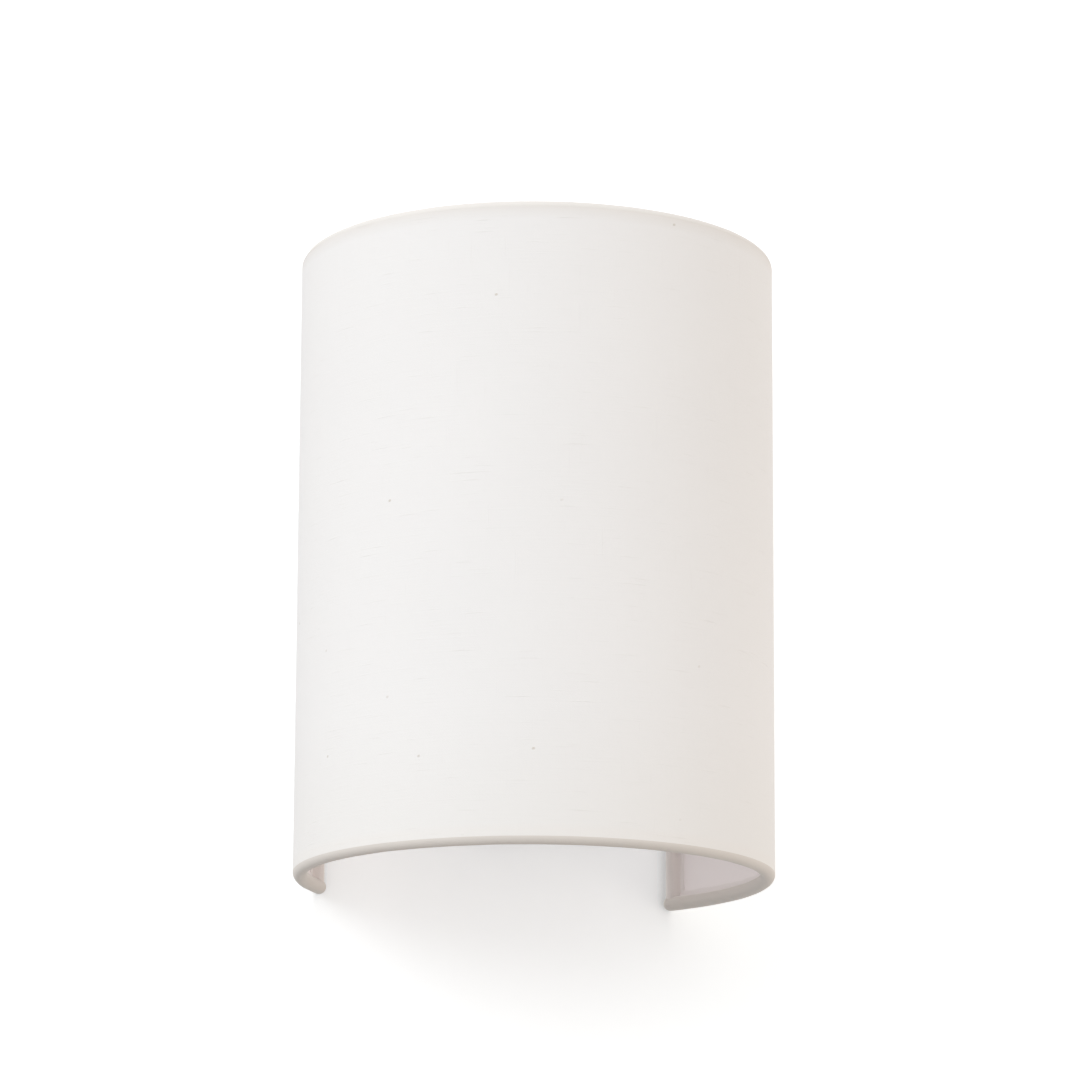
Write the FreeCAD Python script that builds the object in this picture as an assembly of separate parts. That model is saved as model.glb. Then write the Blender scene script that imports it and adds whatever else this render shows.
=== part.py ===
"""Fabric shade wall light: a hooked-on drum-segment shade over a folded wall bracket.

Millimetres. +X right, +Y into the wall, +Z up. The wall is the plane y = 0 and the
origin is the middle of the two wall screw slots, at the shade's mid-height.
"""
import FreeCAD, Part
import os
from math import acos, atan2, cos, degrees, pi, radians, sin, sqrt, tan

V = FreeCAD.Vector
X_AXIS = V(1, 0, 0)
Y_AXIS = V(0, 1, 0)
Z_AXIS = V(0, 0, 1)

tolerance = 1e-6
loft_tolerance = 1e-4       # a lofted face's edges are less exact
cut_past = 1.0              # a cutting tool runs on this far past a face
hole_reach = 9.0            # and starts this far in front of the wall for holes along Y

# ---- shade ----
shade_radius = 83.0
shade_height = 220.0
widest_point = 90.0         # degrees round from the front
side_wrap = 36.3            # degrees that each side runs on past the widest point
skin_thickness = 0.5
lining_thickness = 0.5
ring_wire_radius = 2.0      # top and bottom wires
side_wire_radius = 1.8
cloth_thickness = 0.5
flap_length = 4.5           # from the wire's centre to the flap's edge on the lining
ring_overrun = 0.9          # the ring wires run past the side wires' centres
wall_gap = 0.5              # back corners of the shade to the wall

# ---- carrier bar and its studs ----
bar_thickness = 2.0
bar_height = 18.0
bar_bottom = 38.0
slot_clearance = 0.3
slot_flare = 2.0            # the slots' mouths widen by this on each side
stud_spacing = 60.0
stud_height = 48.0
stud_radius = 2.5
stud_collar_radius = 4.0
stud_head_radius = 4.8
stud_head_thickness = 2.0
stud_head_fillet = 0.9
stud_rivet_radius = 1.9
bar_play = 0.25             # between the bar and the stud's collar and head

# ---- wall plate ----
plate_thickness = 1.5
plate_width = 84.0
plate_top = 62.0
plate_corner = 9.0
fold_radius = 2.0
shelf_top = -72.0
shelf_nose_radius = 19.0
shelf_shoulder = 6.0        # the shelf stays full width this far past the fold
wall_slot_spacing = 60.0
wall_slot_radius = 2.3
wall_slot_length = 9.0
rib_radius = 1.6
rib_spread = 38.0
rib_groove = 1.2            # groove behind each bead
rib_bottom = -20.0
rib_top = 32.0
cable_height = -19.0
cable_hole_radius = 6.5
lead_hole_radius = 4.5
lead_depth = 15.0           # leads' hole in the shelf, out from the wall
grommet_lip = 1.6
grommet_wall = 1.3
grommet_fillet = 0.7

# ---- terminal cover ----
cover_width = 62.0
cover_bottom = -58.0
cover_top = -8.5
cover_depth = 21.0          # from the plate's front
cover_wall = 1.6
cover_draft = 2.0           # the front face is this much smaller on each side
cover_corner = 4.0
cover_edge_fillet = 3.0
ear_length = 9.5
ear_thickness = 2.2
ear_height = 10.0
ear_fillet = 4.0
cover_screw_radius = 1.4
cover_head_radius = 2.7
cover_head_thickness = 1.8
lead_notch_width = 9.0
lead_notch_depth = 16.0

# ---- terminal block ----
pole_pitch = 10.0
pole_width = 8.0
pole_count = 3
block_length = 16.0
block_depth = 8.5
block_height = -36.0        # the block's middle
block_web = 2.6
web_inset = 3.0             # the webs are shorter than the poles at each end
pole_fillet = 2.6
block_head_radius = 2.0
block_head_thickness = 1.4
turret_radius = 2.9
turret_rise = 3.2
clamp_radius = 2.2
clamp_bore = 1.5
clamp_inset = 1.0           # the clamps stay inside the poles' ends
terminal_screw_radius = 1.25
terminal_screw_spread = 8.0
screw_recess = 0.6          # terminal screws below the turrets' tops
screw_tip_rise = 0.1        # and short of the clamps' bore
screw_clearance = 0.15

# ---- earth point ----
earth_x = 21.0
earth_z = -21.0
earth_screw_radius = 2.0
earth_head_radius = 3.9
earth_head_thickness = 2.6
earth_washer_radius = 4.3
earth_washer_thickness = 0.8
earth_tag_radius = 3.9
earth_tag_thickness = 0.8
earth_barrel_length = 6.0
tag_barrel_wall = 0.6
tag_neck = 1.2              # ring's edge to the barrel
tag_neck_width = 3.2

# ---- lampholder ----
lamp_depth = 62.0           # lamp axis out from the wall
nipple_radius = 5.0
nipple_bore = 3.9
nipple_below = 5.8          # below the shelf
nipple_above = 5.0          # into the holder's cap
lock_nut_thickness = 3.0
lock_nut_size = 14.0        # across flats
nut_chamfer = 0.28          # bevel of the nut's lower face
tooth_washer_radius = 8.0
tooth_washer_thickness = 0.8
tooth_count = 12
tooth_gap_radius = 1.0
tooth_gap_rise = 0.3        # the gaps' centres outside the washer's edge
bush_flange_radius = 5.4
bush_flange = 1.4
bush_wall = 0.6
bush_length = 6.0
bush_fillet = 0.6
cap_boss_radius = 8.2
cap_height = 26.0
holder_radius = 19.75
holder_wall = 2.0
skirt_height = 26.0
skirt_step = 0.8            # the barrel above the grip is this much slimmer
skirt_lip_radius = 17.5     # mouth of the turned-in rim
skirt_lip_depth = 2.5
skirt_rim_bevel = 1.0
grip_height = 8.0
grip_grooves = 30
grip_groove_radius = 0.5
grip_groove_low = 1.5
grip_groove_high = 6.5
insert_base = 16.0          # underside of the insert above the shelf
insert_thickness = 8.0
insert_sleeve_radius = 16.4
insert_clearance = 0.3
insert_ledge = 2.0          # the screw shell stands on it
shell_radius = 13.8
shell_thickness = 0.4
shell_base = 29.0           # lower edge above the shelf
shell_length = 21.0
pillar_offset = 8.6
pillar_radius = 2.6
pillar_length = 5.0
pillar_bore = 1.3
pillar_roof = 1.0
contact_screw_radius = 1.2
contact_head_radius = 1.9
contact_head_thickness = 1.4
contact_thickness = 0.5
contact_width = 6.0

# ---- LED bulb ----
tip_rise = 27.3             # contact face above the shelf
bulb_play = 0.3             # cap in the screw shell
bulb_tip_radius = 4.6
bulb_tip_thickness = 1.4
bulb_tip_flat = 0.7         # the tip's flat middle, as a share of its radius
bulb_insulator_length = 4.2
insulator_margin = 0.6      # glass showing round the tip
bulb_cap_length = 21.0
bulb_cap_thickness = 0.6
cap_seam = 1.0              # the cap's foot overlaps the glass by this
bulb_neck_radius = 14.6
bulb_body_radius = 29.2
bulb_body_length = 42.0
bulb_globe_radius = 30.0
bulb_belly = 0.35           # bow of the diffuser's flank
body_swell = [(0, 0), (0.22, 0.082), (0.62, 0.55), (1, 1)]     # (height, widening) up the housing
bulb_length = 110.0

# ---- leads ----
lead_radius = 1.1
lead_spread = 1.6           # each lead's centre from the mid-plane in the nipple
lead_sag_radius = 10.0      # bend under the shelf's grommet
lead_rise_radius = 6.0      # bend into the nipple
lead_block_radius = 3.0     # bend below the terminal block
lead_cover_radius = 5.0     # bend into the shelf's grommet
lead_cap_radius = 2.5       # both bends inside the holder's cap
earth_first_radius = 6.0
earth_last_radius = 8.0
earth_loop = 8.0            # the earth wire's lowest run below the block
lead_engagement = 3.0       # run inside and below a terminal
pillar_engagement = 2.0     # run inside a contact pillar
lead_crank = 0.6            # bends start this far past the nipple and short of a pillar
bush_lead_gap = 1.0

# ---- worked out from those ----
ring_roll = ring_wire_radius + cloth_thickness
side_roll = side_wire_radius + cloth_thickness
ring_centre = shade_radius - ring_roll
side_centre = shade_radius - side_roll
skin_inner = shade_radius - skin_thickness
lining_inner = skin_inner - lining_thickness
flap_inner = lining_inner - cloth_thickness
wire_height = shade_height / 2 - ring_roll
free_edge = widest_point + side_wrap            # degrees round from the front
ring_end = free_edge + degrees(ring_overrun / ring_centre)
shade_y = -(wall_gap + ring_roll - ring_centre * cos(radians(ring_end)))
side_x = side_centre * sin(radians(free_edge))
side_y = shade_y - side_centre * cos(radians(free_edge))
bar_back = side_y + bar_thickness / 2
bar_front = side_y - bar_thickness / 2
plate_front = -plate_thickness
shelf_under = shelf_top - plate_thickness
lamp_y = -lamp_depth
lead_y = -lead_depth


def move(shape, x=0, y=0, z=0):
    moved = shape.copy()
    moved.translate(V(x, y, z))
    return moved


def left_of(shape):
    """The mirror image across the mid-plane."""
    return shape.mirror(V(0, 0, 0), X_AXIS)


def both_sides(shape):
    return Part.makeCompound([shape, left_of(shape)])


def rod(radius, start, end):
    """A round rod from one point to another."""
    run = end - start
    return Part.makeCylinder(radius, run.Length, start, run)


def tube(outer, inner, start, end):
    return rod(outer, start, end).cut(rod(inner, start, end))


def block(x0, x1, y0, y1, z0, z1):
    return Part.makeBox(x1 - x0, y1 - y0, z1 - z0, V(x0, y0, z0))


def turned(points, x=0, y=0, z=0):
    """Revolve a closed profile of (radius, height) points about an upright axis."""
    corners = [V(r, 0, h) for r, h in points]
    face = Part.Face(Part.makePolygon(corners + corners[:1]))
    return move(face.revolve(V(0, 0, 0), Z_AXIS, 360), x, y, z)


def plate_hole(radius, x, z):
    """A round tool along Y through whatever stands on the wall plate."""
    return rod(radius, V(x, -hole_reach, z), V(x, cut_past, z))


def shelf_hole(radius, y):
    """A round tool up through the shelf."""
    return rod(radius, V(0, y, shelf_under - cut_past), V(0, y, shelf_top + cut_past))


def outer_rim(shape, y):
    """The edges of a turned head that lie in the plane y."""
    return [e for e in shape.Edges if abs(e.BoundBox.YMax - y) < tolerance]


def closed_face(edges):
    return Part.Face(Part.Wire(Part.__sortEdges__(edges)))


def revolved(edges):
    """Revolve a closed outline in the XZ plane about the Z axis."""
    return closed_face(edges).revolve(V(0, 0, 0), Z_AXIS, 360)


def wall_slot(x):
    """The tool for a slot with round ends along X, at the origin's height."""
    reach = wall_slot_length / 2 - wall_slot_radius
    middle = block(x - reach, x + reach, -hole_reach, cut_past, -wall_slot_radius, wall_slot_radius)
    for end in (x - reach, x + reach):
        middle = middle.fuse(plate_hole(wall_slot_radius, end, 0))
    return middle


def on_shade(angle, radius, z=0):
    """A point at an angle round from the shade's front, towards +X."""
    a = radians(angle)
    return V(radius * sin(a), shade_y - radius * cos(a), z)


def fitted(value, limit):
    """A fillet or bend radius kept inside the wall that carries it."""
    return min(value, 0.45 * limit)


# ---- shade ----
def wall_sheet(inner, outer, edge, half_height):
    """A drum segment from free edge to free edge."""
    profile = [V(inner, 0, -half_height), V(outer, 0, -half_height),
               V(outer, 0, half_height), V(inner, 0, half_height)]
    face = Part.Face(Part.makePolygon(profile + profile[:1]))
    return wrap(face, edge)


def wrap(face, edge):
    """Sweep an (X, Z) section round the shade's axis from -edge to +edge."""
    swept = face.revolve(V(0, 0, 0), Z_AXIS, 2 * edge)
    swept.rotate(V(0, 0, 0), Z_AXIS, -widest_point - edge)
    return move(swept, 0, shade_y, 0)


def shade_fabric():
    return wall_sheet(skin_inner, shade_radius, free_edge, wire_height)


def lining_end():
    """How far the lining stays short of the wires' centres, where the roll begins."""
    ring = sqrt(ring_roll ** 2 - (lining_inner - ring_centre) ** 2)
    side = sqrt(side_roll ** 2 - (lining_inner - side_centre) ** 2)
    return ring, side


def shade_lining():
    ring, side = lining_end()
    edge = free_edge - degrees(side / lining_inner)
    return wall_sheet(lining_inner, skin_inner, edge, wire_height - ring)


def wire_ring(radius, edge, z):
    """A ring wire or its cloth roll: an arc of rod with domed ends."""
    face = Part.Face(Part.Wire(Part.makeCircle(radius, V(ring_centre, 0, z), Y_AXIS)))
    ring = wrap(face, edge)
    for end in (-edge, edge):
        ring = ring.fuse(Part.makeSphere(radius, on_shade(end, ring_centre, z)))
    return ring.removeSplitter()


def hook_section():
    """The rolled cloth over the top wire: round it, under it and down the lining."""
    def at(r, dz):
        return V(r, 0, wire_height + dz)

    drop_out = sqrt(ring_roll ** 2 - (flap_inner - ring_centre) ** 2)
    drop_in = sqrt(ring_wire_radius ** 2 - (lining_inner - ring_centre) ** 2)
    lip = at(shade_radius, 0)
    seat = at(skin_inner, 0)
    outer = Part.Arc(lip, at(ring_centre - ring_roll, 0), at(flap_inner, -drop_out)).toShape()
    inner = Part.Arc(seat, at(ring_centre - ring_wire_radius, 0), at(lining_inner, -drop_in)).toShape()
    edges = [outer, inner,
             Part.makeLine(at(flap_inner, -drop_out), at(flap_inner, -flap_length)),
             Part.makeLine(at(flap_inner, -flap_length), at(lining_inner, -flap_length)),
             Part.makeLine(at(lining_inner, -flap_length), at(lining_inner, -drop_in)),
             Part.makeLine(seat, lip)]
    return closed_face(edges)


def end_dome(angle):
    """Half a hollow ball that closes the roll past the end of the ring."""
    centre = on_shade(angle, ring_centre, wire_height)
    ball = Part.makeSphere(ring_roll, centre).cut(Part.makeSphere(ring_wire_radius, centre))
    return ball.common(half_space(angle, centre))


def half_space(angle, centre):
    """A block past the shade's radial plane at an angle, on the side away from the front."""
    size = 4 * ring_roll
    keep = Part.makeBox(size, size, 2 * size, V(-size / 2, 0, -size))
    turn = angle if angle > 0 else 180 + angle
    keep.rotate(V(0, 0, 0), Z_AXIS, turn - widest_point)
    return move(keep, centre.x, centre.y, centre.z)


def top_hem():
    hem = wrap(hook_section(), ring_end)
    hem = hem.fuse([end_dome(-ring_end), end_dome(ring_end)])
    return hem.cut(side_wire_blanks())


def side_wire_blanks():
    """Both upright wires at full length, before their ends are coped."""
    return both_sides(right_wire_blank())


def right_wire_blank():
    reach = wire_height - ring_wire_radius / 2
    return rod(side_wire_radius, V(side_x, side_y, -reach), V(side_x, side_y, reach))


def ring_wire():
    return wire_ring(ring_wire_radius, ring_end, wire_height)


def upside_down(shape):
    return shape.mirror(V(0, 0, 0), Z_AXIS)


def right_wire():
    ring = ring_wire()
    return right_wire_blank().cut(ring).cut(upside_down(ring))


def side_section():
    """The cloth roll over the right-hand upright wire, in plan."""
    def reach(roll, radius):
        return degrees(acos((side_centre ** 2 + radius ** 2 - roll ** 2) / (2 * side_centre * radius)))

    centre = on_shade(free_edge, side_centre)
    flap_edge = free_edge - degrees(flap_length / lining_inner)
    outer_end = on_shade(free_edge - reach(side_roll, flap_inner), flap_inner)
    inner_end = on_shade(free_edge - reach(side_wire_radius, lining_inner), lining_inner)
    lip = on_shade(free_edge, shade_radius)
    seat = on_shade(free_edge, skin_inner)
    mid_flap = flap_edge / 2 + (free_edge - reach(side_roll, flap_inner)) / 2
    mid_back = flap_edge / 2 + (free_edge - reach(side_wire_radius, lining_inner)) / 2
    flap_in = on_shade(flap_edge, flap_inner)
    flap_out = on_shade(flap_edge, lining_inner)
    edges = [Part.Arc(lip, far_side(centre, lip, outer_end, side_roll), outer_end).toShape(),
             Part.Arc(outer_end, on_shade(mid_flap, flap_inner), flap_in).toShape(),
             Part.makeLine(flap_in, flap_out),
             Part.Arc(flap_out, on_shade(mid_back, lining_inner), inner_end).toShape(),
             Part.Arc(inner_end, far_side(centre, seat, inner_end, side_wire_radius), seat).toShape(),
             Part.makeLine(seat, lip)]
    return closed_face(edges)


def far_side(centre, start, end, radius):
    """The middle of the long arc round a wire, opposite the gap between its ends."""
    gap = ((start + end) * 0.5 - centre).normalize()
    return centre - gap * radius


def right_binding():
    roll = side_section().extrude(V(0, 0, 2 * wire_height))
    roll = move(roll, 0, 0, -wire_height)
    blank = wire_ring(ring_roll, ring_end, wire_height)
    flap = hem_flap()
    for shape in (blank, flap):
        roll = roll.cut(shape).cut(upside_down(shape))
    return biggest(roll.cut(carrier_blank()))


def hem_flap():
    """The room that the top hem's flap takes on the lining."""
    low = wire_height - flap_length
    corners = [V(flap_inner, 0, low), V(lining_inner, 0, low), V(lining_inner, 0, wire_height),
               V(flap_inner, 0, wire_height)]
    return wrap(Part.Face(Part.makePolygon(corners + corners[:1])), ring_end)


def biggest(shape):
    return max(shape.Solids, key=lambda solid: solid.Volume)


def carrier_blank():
    return block(-side_x, side_x, bar_front, bar_back, bar_bottom, bar_bottom + bar_height)


def carrier_bar():
    """The flat bar across the back, coped to the side wires, with two open slots."""
    bar = carrier_blank().cut(side_wire_blanks())
    radius = stud_radius + slot_clearance
    wide = radius + slot_flare
    mouth = bar_bottom - cut_past
    near = side_y - bar_thickness
    far = side_y + bar_thickness
    for side in (-1, 1):
        x = side * stud_spacing / 2
        flare = [V(x - wide, near, mouth), V(x + wide, near, mouth), V(x, near, mouth + wide)]
        bar = bar.cut(rod(radius, V(x, near, stud_height), V(x, far, stud_height)))
        bar = bar.cut(block(x - radius, x + radius, near, far, mouth, stud_height))
        bar = bar.cut(Part.Face(Part.makePolygon(flare + flare[:1])).extrude(V(0, far - near, 0)))
    return biggest(bar)


# ---- wall plate ----
def folded_strip():
    """Upright plate and shelf as one folded sheet, full width."""
    inner = fold_radius
    outer = fold_radius + plate_thickness
    nose = lamp_y - shelf_nose_radius
    corner = V(0, plate_front - inner, shelf_top + inner)

    def at(y, z):
        return V(0, y, z)

    diagonal = V(0, sin(pi / 4), -cos(pi / 4))
    back_bend = Part.Arc(at(0, corner.z), corner + diagonal * outer, at(corner.y, shelf_under))
    front_bend = Part.Arc(at(corner.y, shelf_top), corner + diagonal * inner, at(plate_front, corner.z))
    edges = [Part.makeLine(at(0, plate_top), at(0, corner.z)),
             back_bend.toShape(),
             Part.makeLine(at(corner.y, shelf_under), at(nose, shelf_under)),
             Part.makeLine(at(nose, shelf_under), at(nose, shelf_top)),
             Part.makeLine(at(nose, shelf_top), at(corner.y, shelf_top)),
             front_bend.toShape(),
             Part.makeLine(at(plate_front, corner.z), at(plate_front, plate_top)),
             Part.makeLine(at(plate_front, plate_top), at(0, plate_top))]
    strip = closed_face(edges).extrude(V(plate_width, 0, 0))
    return move(strip, -plate_width / 2)


def front_outline():
    """The plate's rounded top, as a tall block through the whole depth."""
    half = plate_width / 2
    depth = lamp_depth + shelf_nose_radius + cut_past
    outline = block(-half, half, -depth, cut_past, shelf_under - cut_past, plate_top)
    tops = [e for e in outline.Edges
            if abs(e.BoundBox.ZMin - plate_top) < tolerance and abs(e.BoundBox.XLength) < tolerance]
    return outline.makeFillet(plate_corner, tops)


def shelf_outline():
    """The shelf in plan: straight beside the plate, tapering to a round nose."""
    half = plate_width / 2
    shoulder = -(plate_thickness + fold_radius + shelf_shoulder)
    away = sqrt(half ** 2 + (lamp_depth + shoulder) ** 2)
    tilt = atan2(half, lamp_depth + shoulder) + acos(shelf_nose_radius / away)
    touch = V(shelf_nose_radius * sin(tilt), lamp_y + shelf_nose_radius * cos(tilt), 0)
    right = [V(half, cut_past, 0), V(half, shoulder, 0), touch]
    left = [V(-p.x, p.y, 0) for p in right]
    edges = [Part.makeLine(right[0], right[1]), Part.makeLine(right[1], right[2]),
             Part.Arc(right[2], V(0, lamp_y - shelf_nose_radius, 0), left[2]).toShape(),
             Part.makeLine(left[2], left[1]), Part.makeLine(left[1], left[0]),
             Part.makeLine(left[0], right[0])]
    height = plate_top - shelf_under + 2 * cut_past
    return move(closed_face(edges).extrude(V(0, 0, height)), z=shelf_under - cut_past)


def pressed_rib(x):
    """A half-round stiffening bead pressed out of the plate's front."""
    start = V(x, plate_front, rib_bottom)
    end = V(x, plate_front, rib_top)
    bead = rod(rib_radius, start, end)
    for tip in (start, end):
        bead = bead.fuse(Part.makeSphere(rib_radius, tip))
    room = block(x - rib_radius, x + rib_radius, plate_front - rib_radius, plate_front + plate_thickness / 2,
                 rib_bottom - rib_radius, rib_top + rib_radius)
    return bead.common(room)


def wall_plate():
    plate = folded_strip().common(front_outline()).common(shelf_outline())
    for side in (-1, 1):
        x = side * rib_spread
        plate = plate.fuse(pressed_rib(x)).cut(rod(rib_groove, V(x, 0, rib_bottom), V(x, 0, rib_top)))
        plate = plate.cut(wall_slot(side * wall_slot_spacing / 2))
        plate = plate.cut(plate_hole(stud_rivet_radius, side * stud_spacing / 2, stud_height))
        plate = plate.cut(plate_hole(cover_screw_radius, side * ear_x(), ear_z()))
    plate = plate.cut(plate_hole(cable_hole_radius, 0, cable_height))
    plate = plate.cut(plate_hole(earth_screw_radius, earth_x, earth_z))
    plate = plate.cut(plate_hole(terminal_screw_radius, block_screw_x(), block_height))
    plate = plate.cut(shelf_hole(lead_hole_radius, lead_y))
    return plate.cut(shelf_hole(nipple_radius, lamp_y))


def hanger_studs():
    """Shouldered studs, riveted to the plate, that carry the bar."""
    x = stud_spacing / 2
    collar = bar_back + bar_play
    head = bar_front - bar_play
    stud = rod(stud_rivet_radius, V(x, 0, stud_height), V(x, plate_front, stud_height))
    stud = stud.fuse(rod(stud_collar_radius, V(x, plate_front, stud_height), V(x, collar, stud_height)))
    stud = stud.fuse(rod(stud_radius, V(x, collar, stud_height), V(x, head, stud_height)))
    cap = rod(stud_head_radius, V(x, head, stud_height), V(x, head - stud_head_thickness, stud_height))
    front = outer_rim(cap, head - stud_head_thickness)
    cap = cap.makeFillet(fitted(stud_head_fillet, stud_head_thickness), front)
    return both_sides(stud.fuse(cap))


def cable_grommet():
    """Pushed in from the front; its back lip is flush with the wall face."""
    lip = cable_hole_radius + grommet_lip
    body = rod(cable_hole_radius, V(0, 0, cable_height), V(0, plate_front, cable_height))
    front = rod(lip, V(0, plate_front, cable_height), V(0, plate_front - grommet_lip, cable_height))
    rim = outer_rim(front, plate_front - grommet_lip)
    front = front.makeFillet(fitted(grommet_fillet, grommet_lip), rim)
    return body.fuse(front).cut(plate_hole(cable_hole_radius - grommet_wall, 0, cable_height))


def shelf_grommet():
    """A lip on each side of the shelf."""
    low = shelf_under - grommet_lip
    high = shelf_top + grommet_lip
    body = rod(lead_hole_radius, V(0, lead_y, low), V(0, lead_y, high))
    for start, end in ((low, shelf_under), (shelf_top, high)):
        body = body.fuse(rod(lead_hole_radius + grommet_lip, V(0, lead_y, start), V(0, lead_y, end)))
    return body.cut(rod(lead_hole_radius - grommet_wall, V(0, lead_y, low - cut_past),
                        V(0, lead_y, high + cut_past)))


# ---- terminal cover ----
def ear_x():
    return cover_width / 2 + ear_length / 2


def ear_z():
    return (cover_bottom + cover_top) / 2


def cover_form(inset, y_front):
    """A drafted, round-cornered box standing on the plate."""
    def ring(y, shrink):
        half = cover_width / 2 - shrink
        low = cover_bottom + shrink
        high = cover_top - shrink
        face = block(-half, half, y - cut_past, y, low, high)
        uprights = [e for e in face.Edges if e.BoundBox.YLength > cut_past / 2]
        rounded = face.makeFillet(cover_corner - inset, uprights)
        flat = [f for f in rounded.Faces if abs(f.CenterOfMass.y - y) < tolerance]
        return flat[0].OuterWire
    return Part.makeLoft([ring(plate_front, inset), ring(y_front, inset + cover_draft)], True)


def terminal_cover():
    front = plate_front - cover_depth
    shell = cover_form(0, front)
    face_edges = [e for e in shell.Edges if abs(e.BoundBox.YMax - front) < loft_tolerance]
    shell = shell.makeFillet(fitted(cover_edge_fillet, cover_depth), face_edges)
    shell = shell.cut(cover_form(cover_wall, front + cover_wall))
    ear = right_ear()
    shell = shell.fuse(ear).fuse(left_of(ear))
    for side in (-1, 1):
        shell = shell.cut(plate_hole(cover_screw_radius + screw_clearance, side * ear_x(), ear_z()))
    notch = block(-lead_notch_width / 2, lead_notch_width / 2, plate_front - lead_notch_depth, plate_front,
                  cover_bottom - cut_past, cover_bottom + 3 * cover_wall)
    return shell.cut(notch).removeSplitter()


def right_ear():
    """The screw ear at the cover's foot, with a rounded tip."""
    tip = cover_width / 2 + ear_length
    ear = block(cover_width / 2 - cover_wall / 2, tip, plate_front - ear_thickness, plate_front,
                ear_z() - ear_height / 2, ear_z() + ear_height / 2)
    corners = [e for e in ear.Edges
               if e.BoundBox.YLength > ear_thickness / 2 and abs(e.CenterOfMass.x - tip) < tolerance]
    return ear.makeFillet(fitted(ear_fillet, ear_height), corners)


def pan_screw(x, z, seat, shank_end, shank, head, thickness):
    """A pan-headed screw along Y; the head stands in front of its seat."""
    body = rod(shank, V(x, seat, z), V(x, shank_end, z))
    top = rod(head, V(x, seat, z), V(x, seat - thickness, z))
    return body.fuse(top.makeFillet(fitted(thickness, thickness), outer_rim(top, seat - thickness)))


def cover_screws():
    return both_sides(pan_screw(ear_x(), ear_z(), plate_front - ear_thickness, 0, cover_screw_radius,
                                cover_head_radius, cover_head_thickness))


# ---- terminal block ----
def pole_places():
    return [(i - (pole_count - 1) / 2) * pole_pitch for i in range(pole_count)]


def block_screw_x():
    """The fixing screw passes the web between two poles."""
    return pole_pitch / 2


def clamp_y():
    return plate_front - block_depth / 2


def terminal_block():
    """A moulded strip: one barrel per pole with two screw turrets, joined by webs."""
    low = block_height - block_length / 2
    high = block_height + block_length / 2
    reach = pole_pitch * (pole_count - 1) / 2
    body = block(-reach, reach, plate_front - block_web, plate_front, low + web_inset, high - web_inset)
    front = plate_front - block_depth
    turret_top = front - turret_rise
    for x in pole_places():
        pole = block(x - pole_width / 2, x + pole_width / 2, front, plate_front, low, high)
        tops = [e for e in pole.Edges
                if abs(e.CenterOfMass.y - front) < tolerance and e.BoundBox.ZLength > block_length / 2]
        pole = pole.makeFillet(fitted(pole_fillet, pole_width), tops)
        for z in screw_heights():
            pole = pole.fuse(rod(turret_radius, V(x, clamp_y(), z), V(x, turret_top, z)))
        body = body.fuse(pole)
    for x in pole_places():
        body = body.cut(rod(clamp_radius, V(x, clamp_y(), low - cut_past), V(x, clamp_y(), high + cut_past)))
        for z in screw_heights():
            body = body.cut(rod(terminal_screw_radius + screw_clearance, V(x, clamp_y(), z),
                                V(x, turret_top - cut_past, z)))
    head_room = rod(block_head_radius + screw_clearance,
                    V(block_screw_x(), plate_front - block_web, block_height),
                    V(block_screw_x(), turret_top - cut_past, block_height))
    hole = plate_hole(terminal_screw_radius + screw_clearance, block_screw_x(), block_height)
    return body.cut(hole).cut(head_room).removeSplitter()


def screw_heights():
    return [block_height - terminal_screw_spread / 2, block_height + terminal_screw_spread / 2]


def terminal_clamps():
    low = block_height - block_length / 2 + clamp_inset
    high = block_height + block_length / 2 - clamp_inset
    outside = clamp_y() - 2 * clamp_radius
    clamps = []
    for x in pole_places():
        clamp = tube(clamp_radius, clamp_bore, V(x, clamp_y(), low), V(x, clamp_y(), high))
        for z in screw_heights():
            clamp = clamp.cut(rod(terminal_screw_radius, V(x, clamp_y(), z), V(x, outside, z)))
        clamps.append(clamp)
    return Part.makeCompound(clamps)


def terminal_screws():
    top = plate_front - block_depth - turret_rise + screw_recess
    tip = clamp_y() - clamp_bore + screw_tip_rise
    return Part.makeCompound([rod(terminal_screw_radius, V(x, tip, z), V(x, top, z))
                              for x in pole_places() for z in screw_heights()])


def block_screw():
    return pan_screw(block_screw_x(), block_height, plate_front - block_web, 0, terminal_screw_radius,
                     block_head_radius, block_head_thickness)


# ---- earth point ----
def earth_stack():
    """The faces of the tag, washer and screw head, from the plate outward."""
    tag = plate_front - earth_tag_thickness
    washer = tag - earth_washer_thickness
    return tag, washer


def earth_tag():
    """A ring tag with a crimp barrel that points down to the terminal block."""
    tag_front = earth_stack()[0]
    ring = rod(earth_tag_radius, V(earth_x, plate_front, earth_z), V(earth_x, tag_front, earth_z))
    barrel_top = earth_z - earth_tag_radius
    centre_y = plate_front - lead_radius - tag_barrel_wall
    barrel_start = V(earth_x, centre_y, barrel_top - tag_neck)
    barrel_end = V(earth_x, centre_y, barrel_top - tag_neck - earth_barrel_length)
    neck = block(earth_x - tag_neck_width / 2, earth_x + tag_neck_width / 2, tag_front, plate_front,
                 barrel_start.z - earth_tag_thickness, earth_z)
    barrel = rod(lead_radius + tag_barrel_wall, barrel_start, barrel_end)
    tag = ring.fuse(neck).fuse(barrel).cut(rod(lead_radius, barrel_start, barrel_end))
    return tag.cut(plate_hole(earth_screw_radius, earth_x, earth_z))


def earth_washer():
    tag_front, washer_front = earth_stack()
    return tube(earth_washer_radius, earth_screw_radius, V(earth_x, tag_front, earth_z),
                V(earth_x, washer_front, earth_z))


def earth_screw():
    return pan_screw(earth_x, earth_z, earth_stack()[1], 0, earth_screw_radius, earth_head_radius,
                     earth_head_thickness)


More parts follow.
